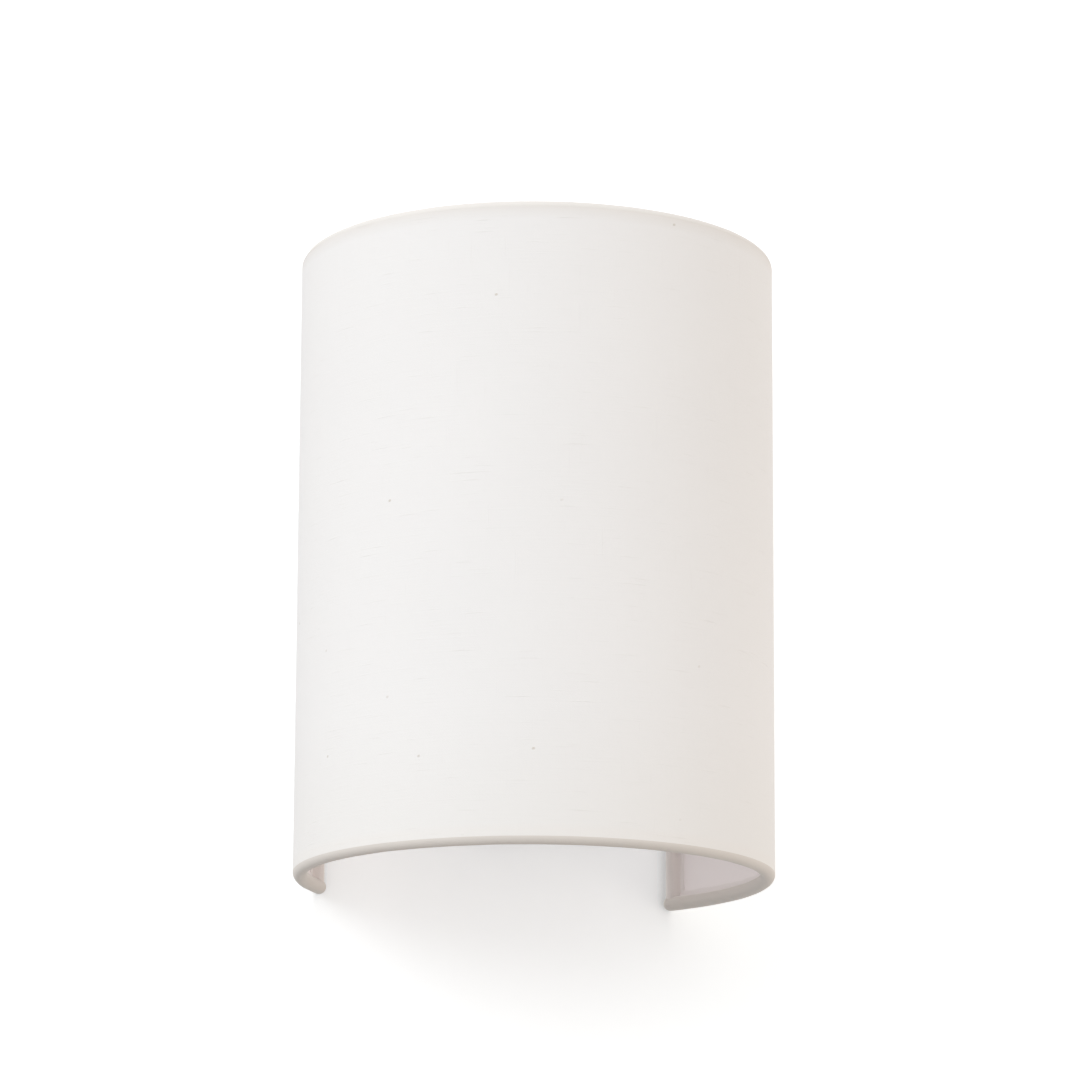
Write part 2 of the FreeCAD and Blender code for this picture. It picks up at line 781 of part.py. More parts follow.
# ---- leads ----
def bent_path(points, radii):
    """Straight runs joined by tangent arcs, one radius for each inner point."""
    edges = []
    last = points[0]
    for before, corner, after, radius in zip(points, points[1:], points[2:], radii):
        inward = (before - corner).normalize()
        outward = (after - corner).normalize()
        half = acos(max(-1, min(1, inward.dot(outward)))) / 2
        back = radius / tan(half)
        start = corner + inward * back
        end = corner + outward * back
        middle_way = (inward + outward).normalize()
        middle = corner + middle_way * (radius / sin(half) - radius)
        edges.append(Part.makeLine(last, start))
        edges.append(Part.Arc(start, middle, end).toShape())
        last = end
    edges.append(Part.makeLine(last, points[-1]))
    return Part.Wire(edges)


def lead(points, radii, name):
    path = bent_path(points, radii)
    start = points[0]
    ring = Part.Wire(Part.makeCircle(lead_radius, start, points[1] - points[0]))
    solid = path.makePipeShell([ring], True, False)
    ideal = pi * lead_radius ** 2 * path.Length
    print(f"{name}: length {path.Length:.1f}, radii {[round(r, 1) for r in radii]}, "
          f"volume {solid.Volume / ideal:.4f} of its section times its length")
    return solid


def lampholder_lead(side, name):
    """From the block down through the shelf, under it and up the nipple to a pillar."""
    pole = side * pole_pitch
    near = side * lead_spread
    block_end = block_height - block_length / 2
    sag = bush_bottom() - bush_lead_gap - lead_rise_radius
    nipple_top = shelf_top + nipple_above
    pillar_end = shelf_top + insert_base - pillar_length
    far = side * pillar_offset
    points = [V(pole, clamp_y(), block_end + lead_engagement),
              V(pole, clamp_y(), block_end - lead_engagement),
              V(near, lead_y, cover_bottom + cover_wall),
              V(near, lead_y, sag),
              V(near, lamp_y, sag),
              V(near, lamp_y, nipple_top + lead_crank),
              V(far, lamp_y, pillar_end - lead_crank),
              V(far, lamp_y, pillar_end + pillar_engagement)]
    radii = [lead_block_radius, lead_cover_radius, lead_sag_radius, lead_rise_radius, lead_cap_radius,
             lead_cap_radius]
    return lead(points, radii, name)


def earth_wire():
    """From the middle pole down, across and up into the ring tag's barrel."""
    tag_y = plate_front - lead_radius - tag_barrel_wall
    tag_end = earth_z - earth_tag_radius - tag_neck - cut_past
    block_end = block_height - block_length / 2
    loop = block_end - earth_loop
    points = [V(0, clamp_y(), block_end + lead_engagement), V(0, clamp_y(), loop), V(earth_x, tag_y, loop),
              V(earth_x, tag_y, tag_end)]
    return lead(points, [earth_first_radius, earth_last_radius], "earth_wire")


# ---- lampholder ----
def bush_bottom():
    return shelf_under - nipple_below - bush_flange


def threaded_nipple():
    return tube(nipple_radius, nipple_bore, V(0, lamp_y, shelf_under - nipple_below),
                V(0, lamp_y, shelf_top + nipple_above))


def tooth_washer():
    under = shelf_under - tooth_washer_thickness
    ring = rod(tooth_washer_radius, V(0, lamp_y, under), V(0, lamp_y, shelf_under))
    for i in range(tooth_count):
        a = 2 * pi * (i + 0.5) / tooth_count
        x = (tooth_washer_radius + tooth_gap_rise) * sin(a)
        y = lamp_y + (tooth_washer_radius + tooth_gap_rise) * cos(a)
        ring = ring.cut(rod(tooth_gap_radius, V(x, y, under - cut_past), V(x, y, shelf_top)))
    return ring.cut(rod(nipple_radius, V(0, lamp_y, under - cut_past), V(0, lamp_y, shelf_top)))


def lock_nut():
    top = shelf_under - tooth_washer_thickness
    corner = lock_nut_size / 2 / cos(pi / 6)
    low = top - lock_nut_thickness
    hexagon = [V(corner * cos(i * pi / 3), lamp_y + corner * sin(i * pi / 3), low) for i in range(7)]
    nut = Part.Face(Part.makePolygon(hexagon)).extrude(V(0, 0, lock_nut_thickness))
    foot = lock_nut_size / 2 - nut_chamfer
    bevel = Part.makeCone(foot, foot + 2 * lock_nut_thickness, 2 * lock_nut_thickness, V(0, lamp_y, low))
    bore = rod(nipple_radius, V(0, lamp_y, low - cut_past), V(0, lamp_y, top + cut_past))
    return nut.common(bevel).cut(bore)


def nipple_bush():
    """A flanged plastic sleeve that keeps the leads off the nipple's edge."""
    end = shelf_under - nipple_below
    sleeve = rod(nipple_bore, V(0, lamp_y, end), V(0, lamp_y, end + bush_length))
    flange = rod(bush_flange_radius, V(0, lamp_y, end - bush_flange), V(0, lamp_y, end))
    rim = [e for e in flange.Edges if abs(e.BoundBox.ZMax - (end - bush_flange)) < tolerance]
    flange = flange.makeFillet(fitted(bush_fillet, bush_flange), rim)
    bore = rod(nipple_bore - bush_wall, V(0, lamp_y, end - bush_flange - cut_past),
               V(0, lamp_y, end + bush_length + cut_past))
    return sleeve.fuse(flange).cut(bore)


def dome_wire(inset, base, top):
    """The cap's outline as (radius, height) edges: boss, quarter-ellipse flank, rim."""
    neck = cap_boss_radius - inset
    rim = holder_radius - inset
    foot = base + nipple_above / 2
    shoulder = top - nipple_above
    span = shoulder - foot
    angles = [i * pi / 12 for i in range(7)]
    points = [V(neck + (rim - neck) * sin(a), 0, shoulder - span * cos(a)) for a in angles]
    curve = Part.BSplineCurve()
    curve.interpolate(points)
    return [Part.makeLine(V(0, 0, base), V(neck, 0, base)), Part.makeLine(V(neck, 0, base), points[0]),
            curve.toShape(), Part.makeLine(points[-1], V(rim, 0, top)),
            Part.makeLine(V(rim, 0, top), V(0, 0, top)), Part.makeLine(V(0, 0, top), V(0, 0, base))]


def holder_cap():
    outer = revolved(dome_wire(0, 0, cap_height))
    room = revolved(dome_wire(holder_wall, nipple_above / 4, cap_height + cut_past))
    boss = rod(cap_boss_radius, V(0, 0, 0), V(0, 0, nipple_above))
    bore = rod(nipple_radius, V(0, 0, -cut_past), V(0, 0, nipple_above + cut_past))
    return move(outer.cut(room).fuse(boss).cut(bore).removeSplitter(), 0, lamp_y, shelf_top)


def skirt_inner_radius():
    return holder_radius - holder_wall - skirt_step


def holder_skirt():
    """The outer shell: ribbed grip at its foot, plain barrel, turned-in rim."""
    top = cap_height + skirt_height
    grip_top = cap_height + grip_height
    barrel = holder_radius - skirt_step
    outline = [(holder_radius, cap_height), (holder_radius, grip_top), (barrel, grip_top + skirt_rim_bevel),
               (barrel, top - skirt_rim_bevel), (barrel - skirt_rim_bevel, top), (skirt_lip_radius, top),
               (skirt_inner_radius(), top - skirt_lip_depth), (skirt_inner_radius(), cap_height)]
    skirt = turned(outline)
    for i in range(grip_grooves):
        a = 2 * pi * i / grip_grooves
        x = holder_radius * cos(a)
        y = holder_radius * sin(a)
        skirt = skirt.cut(rod(grip_groove_radius, V(x, y, cap_height + grip_groove_low),
                              V(x, y, cap_height + grip_groove_high)))
    return move(skirt, 0, lamp_y, shelf_top)


def holder_insert():
    """The insulating core: a floor for the contacts and a sleeve round the screw shell."""
    floor_top = insert_base + insert_thickness
    shell_top = shell_base + shell_length
    core = rod(skirt_inner_radius() - insert_clearance, V(0, 0, insert_base), V(0, 0, floor_top))
    sleeve = tube(insert_sleeve_radius, shell_radius, V(0, 0, floor_top), V(0, 0, shell_top))
    ledge = tube(shell_radius, shell_radius - insert_ledge, V(0, 0, floor_top), V(0, 0, shell_base))
    return move(core.fuse(sleeve).fuse(ledge).removeSplitter(), 0, lamp_y, shelf_top)


def screw_shell():
    shell = tube(shell_radius, shell_radius - shell_thickness, V(0, 0, shell_base),
                 V(0, 0, shell_base + shell_length))
    return move(shell, 0, lamp_y, shelf_top)


def centre_contact():
    """A bowed spring strip that stands on the insert's floor under the bulb's tip."""
    floor = insert_base + insert_thickness
    rise = tip_rise - floor
    half = contact_width
    t = contact_thickness
    lower = Part.Arc(V(-half, 0, floor), V(0, 0, floor + rise - t), V(half, 0, floor)).toShape()
    upper = Part.Arc(V(-half, 0, floor + t), V(0, 0, floor + rise), V(half, 0, floor + t)).toShape()
    ends = [Part.makeLine(V(s * half, 0, floor), V(s * half, 0, floor + t)) for s in (-1, 1)]
    strip = closed_face([lower, upper] + ends).extrude(V(0, contact_width, 0))
    return move(strip, 0, lamp_y - contact_width / 2, shelf_top)


def contact_pillars():
    """Drilled posts under the insert; a lead goes in from below, its screw from the side."""
    x = pillar_offset
    top = shelf_top + insert_base
    low = top - pillar_length
    pillar = rod(pillar_radius, V(x, lamp_y, low), V(x, lamp_y, top))
    pillar = pillar.cut(rod(pillar_bore, V(x, lamp_y, low - cut_past), V(x, lamp_y, top - pillar_roof)))
    pillar = pillar.cut(rod(contact_screw_radius, V(x, lamp_y, contact_screw_z()),
                            V(x + 2 * pillar_radius, lamp_y, contact_screw_z())))
    return both_sides(pillar)


def contact_screw_z():
    return shelf_top + insert_base - pillar_length / 2


def contact_screws():
    """Cheese-headed clamping screws along X, their tips on the leads."""
    z = contact_screw_z()
    tip = pillar_offset + lead_radius
    seat = pillar_offset + pillar_radius
    shank = rod(contact_screw_radius, V(tip, lamp_y, z), V(seat, lamp_y, z))
    head = rod(contact_head_radius, V(seat, lamp_y, z), V(seat + contact_head_thickness, lamp_y, z))
    return both_sides(shank.fuse(head))


# ---- LED bulb ----
def bulb_base():
    return shelf_top + tip_rise


def bulb_contact():
    r = bulb_tip_radius
    t = bulb_tip_thickness
    return turned([(0, 0), (r * bulb_tip_flat, 0), (r, t / 2), (r, t), (0, t)], 0, lamp_y, bulb_base())


def bulb_insulator():
    low = bulb_tip_thickness
    high = low + bulb_insulator_length
    outer = cap_outer() - bulb_cap_thickness
    foot = bulb_tip_radius + insulator_margin
    outline = [(0, low), (foot, low), (outer, high - cap_seam), (outer, high), (0, high)]
    return turned(outline, 0, lamp_y, bulb_base())


def cap_outer():
    return shell_radius - shell_thickness - bulb_play


def cap_base():
    return bulb_tip_thickness + bulb_insulator_length - cap_seam


def bulb_cap():
    """The screw cap as a plain shell with a bevelled foot."""
    low = cap_base()
    high = low + bulb_cap_length
    outer = cap_outer()
    inner = outer - bulb_cap_thickness
    foot = outer - bulb_cap_thickness / 2
    outline = [(inner, low), (foot, low), (outer, low + bulb_cap_thickness), (outer, high), (inner, high)]
    return turned(outline, 0, lamp_y, bulb_base())


def body_base():
    return cap_base() + bulb_cap_length


def bulb_body():
    """The housing: a plug inside the cap and a neck that swells up to the globe."""
    low = body_base()
    high = low + bulb_body_length
    plug = cap_outer() - bulb_cap_thickness
    foot = bulb_tip_thickness + bulb_insulator_length
    widening = bulb_body_radius - bulb_neck_radius
    flank = [V(bulb_neck_radius + swell * widening, 0, low + rise * bulb_body_length)
             for rise, swell in body_swell]
    curve = Part.BSplineCurve()
    curve.interpolate(flank)
    rim = flank[-1]
    edges = [Part.makeLine(V(0, 0, foot), V(plug, 0, foot)), Part.makeLine(V(plug, 0, foot), V(plug, 0, low)),
             Part.makeLine(V(plug, 0, low), flank[0]), curve.toShape(), Part.makeLine(rim, V(0, 0, high)),
             Part.makeLine(V(0, 0, high), V(0, 0, foot))]
    return move(revolved(edges), 0, lamp_y, bulb_base())


def bulb_diffuser():
    """The opal dome, a little wider than the housing's rim, closed at the top."""
    low = body_base() + bulb_body_length
    centre = bulb_length - bulb_globe_radius
    start = V(bulb_body_radius, 0, low)
    side = V(bulb_globe_radius, 0, centre)
    top = V(0, 0, bulb_length)
    middle = bulb_globe_radius * sin(pi / 4)
    crown = Part.Arc(side, V(middle, 0, centre + middle), top)
    belly = (bulb_body_radius + bulb_globe_radius) / 2 + bulb_belly
    flank = Part.Arc(start, V(belly, 0, (low + centre) / 2), side)
    edges = [Part.makeLine(V(0, 0, low), start), flank.toShape(), crown.toShape(),
             Part.makeLine(top, V(0, 0, low))]
    return move(revolved(edges), 0, lamp_y, bulb_base())


def build():
    hem = top_hem()
    ring = ring_wire()
    wire = right_wire()
    binding = right_binding()
    return {
        "shade_fabric": shade_fabric(),
        "shade_lining": shade_lining(),
        "top_hem": hem,
        "bottom_hem": upside_down(hem),
        "top_wire": ring,
        "bottom_wire": upside_down(ring),
        "right_wire": wire,
        "left_wire": left_of(wire),
        "right_binding": binding,
        "left_binding": left_of(binding),
        "carrier_bar": carrier_bar(),
        "wall_plate": wall_plate(),
        "hanger_studs": hanger_studs(),
        "cable_grommet": cable_grommet(),
        "shelf_grommet": shelf_grommet(),
        "terminal_cover": terminal_cover(),
        "cover_screws": cover_screws(),
        "terminal_block": terminal_block(),
        "terminal_clamps": terminal_clamps(),
        "terminal_screws": terminal_screws(),
        "block_screw": block_screw(),
        "earth_tag": earth_tag(),
        "earth_washer": earth_washer(),
        "earth_screw": earth_screw(),
        "earth_wire": earth_wire(),
        "live_wire": lampholder_lead(1, "live_wire"),
        "neutral_wire": lampholder_lead(-1, "neutral_wire"),
        "threaded_nipple": threaded_nipple(),
        "tooth_washer": tooth_washer(),
        "lock_nut": lock_nut(),
        "nipple_bush": nipple_bush(),
        "holder_cap": holder_cap(),
        "holder_skirt": holder_skirt(),
        "holder_insert": holder_insert(),
        "screw_shell": screw_shell(),
        "centre_contact": centre_contact(),
        "contact_pillars": contact_pillars(),
        "contact_screws": contact_screws(),
        "bulb_contact": bulb_contact(),
        "bulb_insulator": bulb_insulator(),
        "bulb_cap": bulb_cap(),
        "bulb_body": bulb_body(),
        "bulb_diffuser": bulb_diffuser(),
    }


os.makedirs("parts", exist_ok=True)
for node, shape in build().items():
    if not shape.isValid():
        print(f"{node} is not valid")
    print(f"{node}: {len(shape.Solids)} solid(s), {shape.Volume:.0f} mm3")
    shape.exportStep(f"parts/{node}.step")
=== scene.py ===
# %% [markdown]
# # A fabric shade wall light
#
# A white cotton drum segment hangs on a folded steel bracket and hides a lampholder and a
# bulb. The construction is measured elsewhere and comes in as a fixed frame of solids, so
# this script only gives each piece its finish, and builds again what a plain solid can't
# show: cloth rolled over wire, screw threads, driven screw heads and a moulded bulb.

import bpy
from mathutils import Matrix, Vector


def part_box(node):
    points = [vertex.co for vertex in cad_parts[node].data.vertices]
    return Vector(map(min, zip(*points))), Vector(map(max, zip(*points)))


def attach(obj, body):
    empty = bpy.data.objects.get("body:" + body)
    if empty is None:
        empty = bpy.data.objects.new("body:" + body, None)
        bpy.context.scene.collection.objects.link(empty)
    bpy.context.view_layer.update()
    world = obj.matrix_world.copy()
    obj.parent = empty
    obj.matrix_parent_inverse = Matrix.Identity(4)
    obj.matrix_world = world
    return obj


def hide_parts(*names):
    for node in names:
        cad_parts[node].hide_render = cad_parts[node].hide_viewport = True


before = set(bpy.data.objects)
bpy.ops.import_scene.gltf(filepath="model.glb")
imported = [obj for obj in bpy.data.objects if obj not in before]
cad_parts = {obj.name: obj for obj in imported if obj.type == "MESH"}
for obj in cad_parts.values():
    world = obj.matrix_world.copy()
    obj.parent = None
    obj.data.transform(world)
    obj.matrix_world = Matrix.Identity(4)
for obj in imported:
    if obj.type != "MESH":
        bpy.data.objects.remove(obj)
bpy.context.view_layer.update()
print("nodes in the frame:", len(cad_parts))

# %%
from math import acos, atan2, ceil, cos, degrees, pi, radians, sin, sqrt

import bmesh
import bpy
from mathutils import Matrix, Vector, noise

MM = 0.001

# %% [markdown]
# ## Measures taken from the frame
#
# The shade is a drum whose plan is most of a circle. Its radius, its axis and the place of
# its free edges follow from the boxes of its solids, so nothing here repeats a size that
# the construction could change.

# %% The shade's measures
def box_of(node):
    """The lowest and the highest corner of a node's box."""
    return [Vector(corner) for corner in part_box(node)]


skin_low, skin_high = box_of("shade_fabric")
lining_low, lining_high = box_of("shade_lining")
hem_low, hem_high = box_of("top_hem")
wire_low, wire_high = box_of("top_wire")
side_low, side_high = box_of("right_wire")

shade_radius = (skin_high.x - skin_low.x) / 2
shade_y = skin_low.y + shade_radius
skin_inner = (lining_high.x - lining_low.x) / 2
cotton = shade_radius - skin_inner
lining_inner = skin_inner - cotton
flap_inner = lining_inner - cotton
wire_height = skin_high.z
free_edge = pi - acos((skin_high.y - shade_y) / shade_radius)
ring_wire = (wire_high.z - wire_low.z) / 2
ring_roll = hem_high.z - wire_height
ring_centre = shade_radius - ring_roll
ring_end = pi - acos((hem_high.y - ring_roll - shade_y) / ring_centre)
side_wire = (side_high.x - side_low.x) / 2
side_roll = side_wire + cotton
side_centre = shade_radius - side_roll
flap_length = wire_height - hem_low.z
film = 0.02 * MM    # keeps a mesh off the face that it lies on
print(f"shade: radius {shade_radius / MM:.1f} mm, axis {-shade_y / MM:.1f} mm off the wall, "
      f"free edges {degrees(free_edge):.1f} degrees round from the front")


def on_shade(angle, radius, z=0.0):
    """A point at an angle round from the shade's front, towards +X."""
    return Vector((radius * sin(angle), shade_y - radius * cos(angle), z))


# %% [markdown]
# ## Shader maths as sums
#
# A finish is a few formulas: where a thread lies, how worn an edge is. Wrapping a socket in
# a small class lets those formulas be written as sums, and each sum adds its own Math node.
# Everything else, such as a noise or a ramp, comes from one method that takes the node's
# kind, its settings and what its sockets are fed with. The world's light is a node tree too,
# so that method belongs to a recipe, and a finish is a recipe with a material around it.

# %% A socket that can be added and multiplied
class Value:
    def __init__(self, recipe, socket):
        self.recipe = recipe
        self.socket = socket

    def _sum(self, operation, a, b):
        return self.recipe.node("Math", {0: a, 1: b}, operation=operation)

    def __add__(self, other):
        return self._sum("ADD", self, other)

    def __radd__(self, other):
        return self._sum("ADD", other, self)

    def __sub__(self, other):
        return self._sum("SUBTRACT", self, other)

    def __rsub__(self, other):
        return self._sum("SUBTRACT", other, self)

    def __mul__(self, other):
        return self._sum("MULTIPLY", self, other)

    def __rmul__(self, other):
        return self._sum("MULTIPLY", other, self)

    def __truediv__(self, other):
        return self._sum("DIVIDE", self, other)


# %% A recipe: one node tree
class Recipe:
    def __init__(self, owner):
        owner.use_nodes = True
        self.tree = owner.node_tree
        self.tree.nodes.clear()

    def feed(self, node, socket, value):
        """Set a socket to a number or colour, or link it to a Value."""
        place = node.inputs[socket]
        if isinstance(value, Value):
            self.tree.links.new(value.socket, place)
        elif hasattr(place.default_value, "__len__") and len(place.default_value) == 4:
            place.default_value = (*value[:3], 1.0)
        else:
            place.default_value = value

    def node(self, kind, inputs=None, out=0, stops=None, **settings):
        """Add a node; its settings come first, then the values or links of its sockets."""
        made = self.tree.nodes.new("ShaderNode" + kind)
        for name, value in settings.items():
            setattr(made, name, value)
        if stops:
            ramp = made.color_ramp
            while len(ramp.elements) < len(stops):
                ramp.elements.new(0.5)
            for element, (place, level) in zip(ramp.elements, stops):
                element.position = place
                element.color = (*level, 1) if isinstance(level, tuple) else (level, level, level, 1)
        for socket, value in (inputs or {}).items():
            self.feed(made, socket, value)
        return Value(self, made.outputs[out]) if made.outputs else made

    def mix(self, factor, a, b, blend="MIX"):
        return self.node("Mix", {0: factor, 6: a, 7: b}, out=2, data_type="RGBA", blend_type=blend)

    def parts(self, vector):
        return [self.node("SeparateXYZ", {0: vector}, out=i) for i in range(3)]

    def stretch(self, x, y, z):
        return self.node("CombineXYZ", {0: x, 1: y, 2: z})

    def noise(self, vector, scale, detail=2.0):
        return self.node("TexNoise", {0: vector, "Scale": scale, "Detail": detail})

    def wave(self, angle):
        return self.node("Math", {0: angle}, operation="SINE")

    def ramp(self, value, *stops):
        return self.node("ValToRGB", {0: value}, stops=stops)

    def seen_by(self, *rays):
        """1 for a ray of one of these kinds, and 0 for light that bounces."""
        kinds = [self.node("LightPath", out=f"Is {ray} Ray") for ray in rays]
        return sum(kinds[1:], kinds[0])


# %% A finish: a recipe for one material
class Finish(Recipe):
    def __init__(self, name, **surface):
        self.material = bpy.data.materials.new(name)
        super().__init__(self.material)
        named = {word.replace("_", " ").title(): value for word, value in surface.items()}
        sockets = {word.replace("Ior", "IOR"): value for word, value in named.items()}
        self.shader = self.node("BsdfPrincipled", sockets)
        self.surface = self.shader.socket.node
        self.output = self.node("OutputMaterial", {"Surface": self.shader})

    def place(self):
        """The point's own place on the piece, in metres, whole and as x, y and z."""
        point = self.node("TexCoord", out=3)
        return point, self.parts(point)

    def colour(self, value):
        self.feed(self.surface, "Base Color", value)

    def rough(self, value):
        self.feed(self.surface, "Roughness", value)

    def bump(self, height, depth, strength):
        """Height from 0 to 1 becomes a relief that is depth metres deep."""
        made = self.node("Bump", {"Height": height, "Distance": depth, "Strength": strength})
        self.feed(self.surface, "Normal", made)


print("shader helpers ready")

# %% [markdown]
# ## Cotton
#
# The cover is a plain-woven cotton: warp runs up the shade and weft runs round it. Its
# coordinates are therefore the distance round the drum and the height, and not x, y and z.
# Two sine waves make the over-and-under of the yarns, a stretched noise thickens some yarns
# into slubs, and a very soft noise lets the tone wander as it does on real cloth. The hollows
# of the weave are a little darker: painted shade. The cover is darker in three bands: low
# down, painted shade where less light reaches; and where its own edge doubles it and under
# its top roll, partly the doubled cloth's own tone and partly painted shade where a wire and a
# second layer of cloth keep back light that comes through the cover. The rolled edges and the
# side strips are darker, warmer copies of the same cotton: painted shade.

# %% Round-the-drum coordinates
yarn_pitch = 0.46 * MM
yarn_stray = 0.9 * MM
# Bands and tones for the cover's painted shade: darker low down where less light reaches, and where a
# wire and a second layer of cloth keep back light, partly also the doubled cloth's own tone.
top_shade_band = 4.2 * MM
low_shade_band = 45 * MM
cotton_tone = (0.896, 0.887, 0.879)
low_shade_tone = (0.866, 0.855, 0.837)
doubled_cloth_and_shade_tone = (0.868, 0.844, 0.815)
top_shade_tone = (0.832, 0.808, 0.780)
# The rolls' and strips' tones are darker, warmer copies of the cover's cotton: painted shade on edges
# that face away from the light.
roll_shade_tone = (0.748, 0.705, 0.658)
strip_shade_tone = (0.885, 0.830, 0.798)
# Lighter where a flap lies glued on the lining: partly one layer of cloth over the white lining, partly
# painted light.
glued_light_tone = (0.950, 0.905, 0.893)
# Darker yarn for slubs and thread ends, and painted shade for the weave's hollows.
yarn_and_gap_shade_tone = (0.700, 0.660, 0.610)


def drum_coordinates(finish):
    """Distance round the drum and distance up the cloth, over the rolled edges too."""
    point, (x, y, z) = finish.place()
    out = shade_y - y
    angle = finish.node("Math", {0: x, 1: out}, operation="ARCTAN2")
    radius = finish.node("Math", {0: x * x + out * out}, operation="SQRT")
    return point, angle * shade_radius, z - radius, z


# %% Nubs and thread ends
def loose_fibres(finish, around, up):
    """A few short thick places in the yarn, and fewer still a darker thread end."""
    spot = finish.stretch(around * 50.0 + up * 30.0, up * 70.0 - around * 30.0, 0.0)
    near = finish.node("TexVoronoi", {"Vector": spot, "Scale": 1.0}, voronoi_dimensions="2D")
    cell = finish.node("TexVoronoi", {"Vector": spot, "Scale": 1.0}, out=1, voronoi_dimensions="2D")
    pick = finish.node("SeparateColor", {0: cell})
    dot = finish.ramp(near, (0.0, 1.0), (0.022, 0.8), (0.040, 0.0), (1.0, 0.0))
    nub = dot * finish.ramp(pick, (0.93, 0.0), (0.935, 1.0))
    thread_end = dot * finish.ramp(pick, (0.975, 0.0), (0.98, 1.0))
    return nub * 0.9, thread_end * 1.2


# %% The cotton finish
def glued_flap(finish, tone, across, limit, starts):
    """A lighter tone where a flap lies on the lining, from a share of its length inwards: partly one
    layer of cloth over the white lining, partly painted light.
    """
    inward = limit - finish.node("Math", {0: across}, operation="ABSOLUTE")
    on_lining = finish.ramp((inward - starts * flap_length) / MM, (0.0, 0.0), (1.0, 1.0))
    return finish.mix(on_lining, tone, glued_light_tone)


def cotton_finish(name, tone, edge=None):
    """Cotton of one tone: the flat cover, or the cloth of a rolled edge, a hem or a strip. The edges'
    darker tones and the cover's darker bands are painted shade.
    """
    finish = Finish(name, sheen_weight=0.18, sheen_roughness=0.5, specular_ior_level=0.22)
    point, around, up, z = drum_coordinates(finish)
    stray = (finish.noise(point, 260.0) - 0.5) * yarn_stray
    warp, weft = [finish.wave((run + stray) * (2 * pi / yarn_pitch)) for run in (around, up)]
    weave = warp * weft * 0.5 + 0.5
    along_weft = finish.noise(finish.stretch(around * 55.0, up * 1500.0, 0.0), 1.0)
    along_warp = finish.noise(finish.stretch(around * 1500.0, up * 45.0, 3.7), 1.0)
    slub = finish.ramp(along_weft, (0.0, 0.0), (0.66, 0.0), (0.80, 1.0), (1.0, 1.0))
    fine_slub = finish.ramp(along_warp, (0.0, 0.0), (0.68, 0.0), (0.82, 1.0), (1.0, 1.0))
    drift = finish.noise(point, 14.0, 3.0)
    tone = finish.mix(drift, tone, tuple(c * 0.965 for c in tone))
    if edge == "hem":
        # Painted shade on the rolls: the top roll is lifted towards a lighter tone than the bottom
        # roll, which faces down.
        above = finish.ramp(z / MM + 0.5, (0.0, 0.0), (1.0, 1.0))
        tone = finish.mix(above * 0.8, tone, top_shade_tone)
        tone = glued_flap(finish, tone, z, wire_height, 0.36)
    elif edge == "strip":
        tone = glued_flap(finish, tone, around, free_edge * shade_radius, 0.56)
    else:
        # Painted shade on the cover: darker low down, and in bands at the doubled bottom edge and under
        # the top roll, partly the doubled cloth's own tone.
        from_bottom = z + wire_height
        low = finish.ramp(from_bottom / low_shade_band, (0.1, 1.0), (1.0, 0.0))
        doubled = finish.ramp(from_bottom / flap_length, (0.5, 0.6), (1.0, 0.0))
        top = finish.ramp((wire_height - z) / top_shade_band, (0.0, 1.0), (0.35, 0.55), (1.0, 0.0))
        for share, darker in ((low, low_shade_tone), (doubled, doubled_cloth_and_shade_tone), (top, top_shade_tone)):
            tone = finish.mix(share, tone, darker)
    nub, thread_end = loose_fibres(finish, around, up)
    # Slubs and thread ends are darker yarn; the weave's hollows are darkened too, as painted shade.
    yarn_and_gap_shade = (slub * 0.35 + fine_slub * 0.22) * 0.5 + (1 - weave) * 0.14 + thread_end
    finish.colour(finish.mix(yarn_and_gap_shade, tone, yarn_and_gap_shade_tone))
    finish.rough(0.86 + weave * 0.10)
    finish.bump(weave * 0.55 + slub * 0.8 + fine_slub * 0.5 + along_weft * 0.35 + nub, 0.16 * MM, 0.55)
    return finish.material


skin_cotton = cotton_finish("cotton_skin", cotton_tone)
# The rolled and strip cotton are shaded copies of the cover's cotton: their darker tones are painted
# shade.
rolled_cotton = cotton_finish("cotton_rolled", roll_shade_tone, "hem")
strip_cotton = cotton_finish("cotton_strip", strip_shade_tone, "strip")
print("cotton: yarn pitch", round(yarn_pitch / MM, 2), "mm")

# %% [markdown]
# ## Lining, metals, plastics and the rest
#
# Each of these is one short recipe. The lining is a smooth laminated sheet. Powder coat has
# an orange-peel relief that shows only in its highlights. Plated steel is brushed one way.
# Moulded plastics carry the fine grain of the mould.

# %% Recipes
def lining_finish():
    """A smooth sheet, with a faint glow for the daylight that comes through the shade."""
    finish = Finish("lining_sheet", specular_ior_level=0.3, emission_strength=0.035,
                    emission_color=(1.0, 0.89, 0.885))
    point, around, up, _ = drum_coordinates(finish)
    drift = finish.noise(point, 22.0, 3.0)
    press = finish.noise(finish.stretch(around * 900.0, up * 900.0, 0.0), 1.0, 3.0)
    finish.colour(finish.mix(drift, (0.938, 0.886, 0.882), (0.952, 0.910, 0.906)))
    finish.rough(0.56 + press * 0.12)
    finish.bump(press, 0.03 * MM, 0.5)
    return finish.material


def coat_finish(name, tone, gloss=0.38, peel=900.0):
    """Powder coat or moulded plastic: a fine relief and a slightly uneven gloss."""
    finish = Finish(name, specular_ior_level=0.5)
    point, _ = finish.place()
    relief = finish.noise(point, peel, 3.0)
    cloud = finish.noise(point, 45.0, 3.0)
    finish.colour(finish.mix(cloud, tone, tuple(c * 0.955 for c in tone)))
    finish.rough(gloss + cloud * 0.08 + relief * 0.06)
    finish.bump(relief, 0.04 * MM, 0.35)
    return finish.material


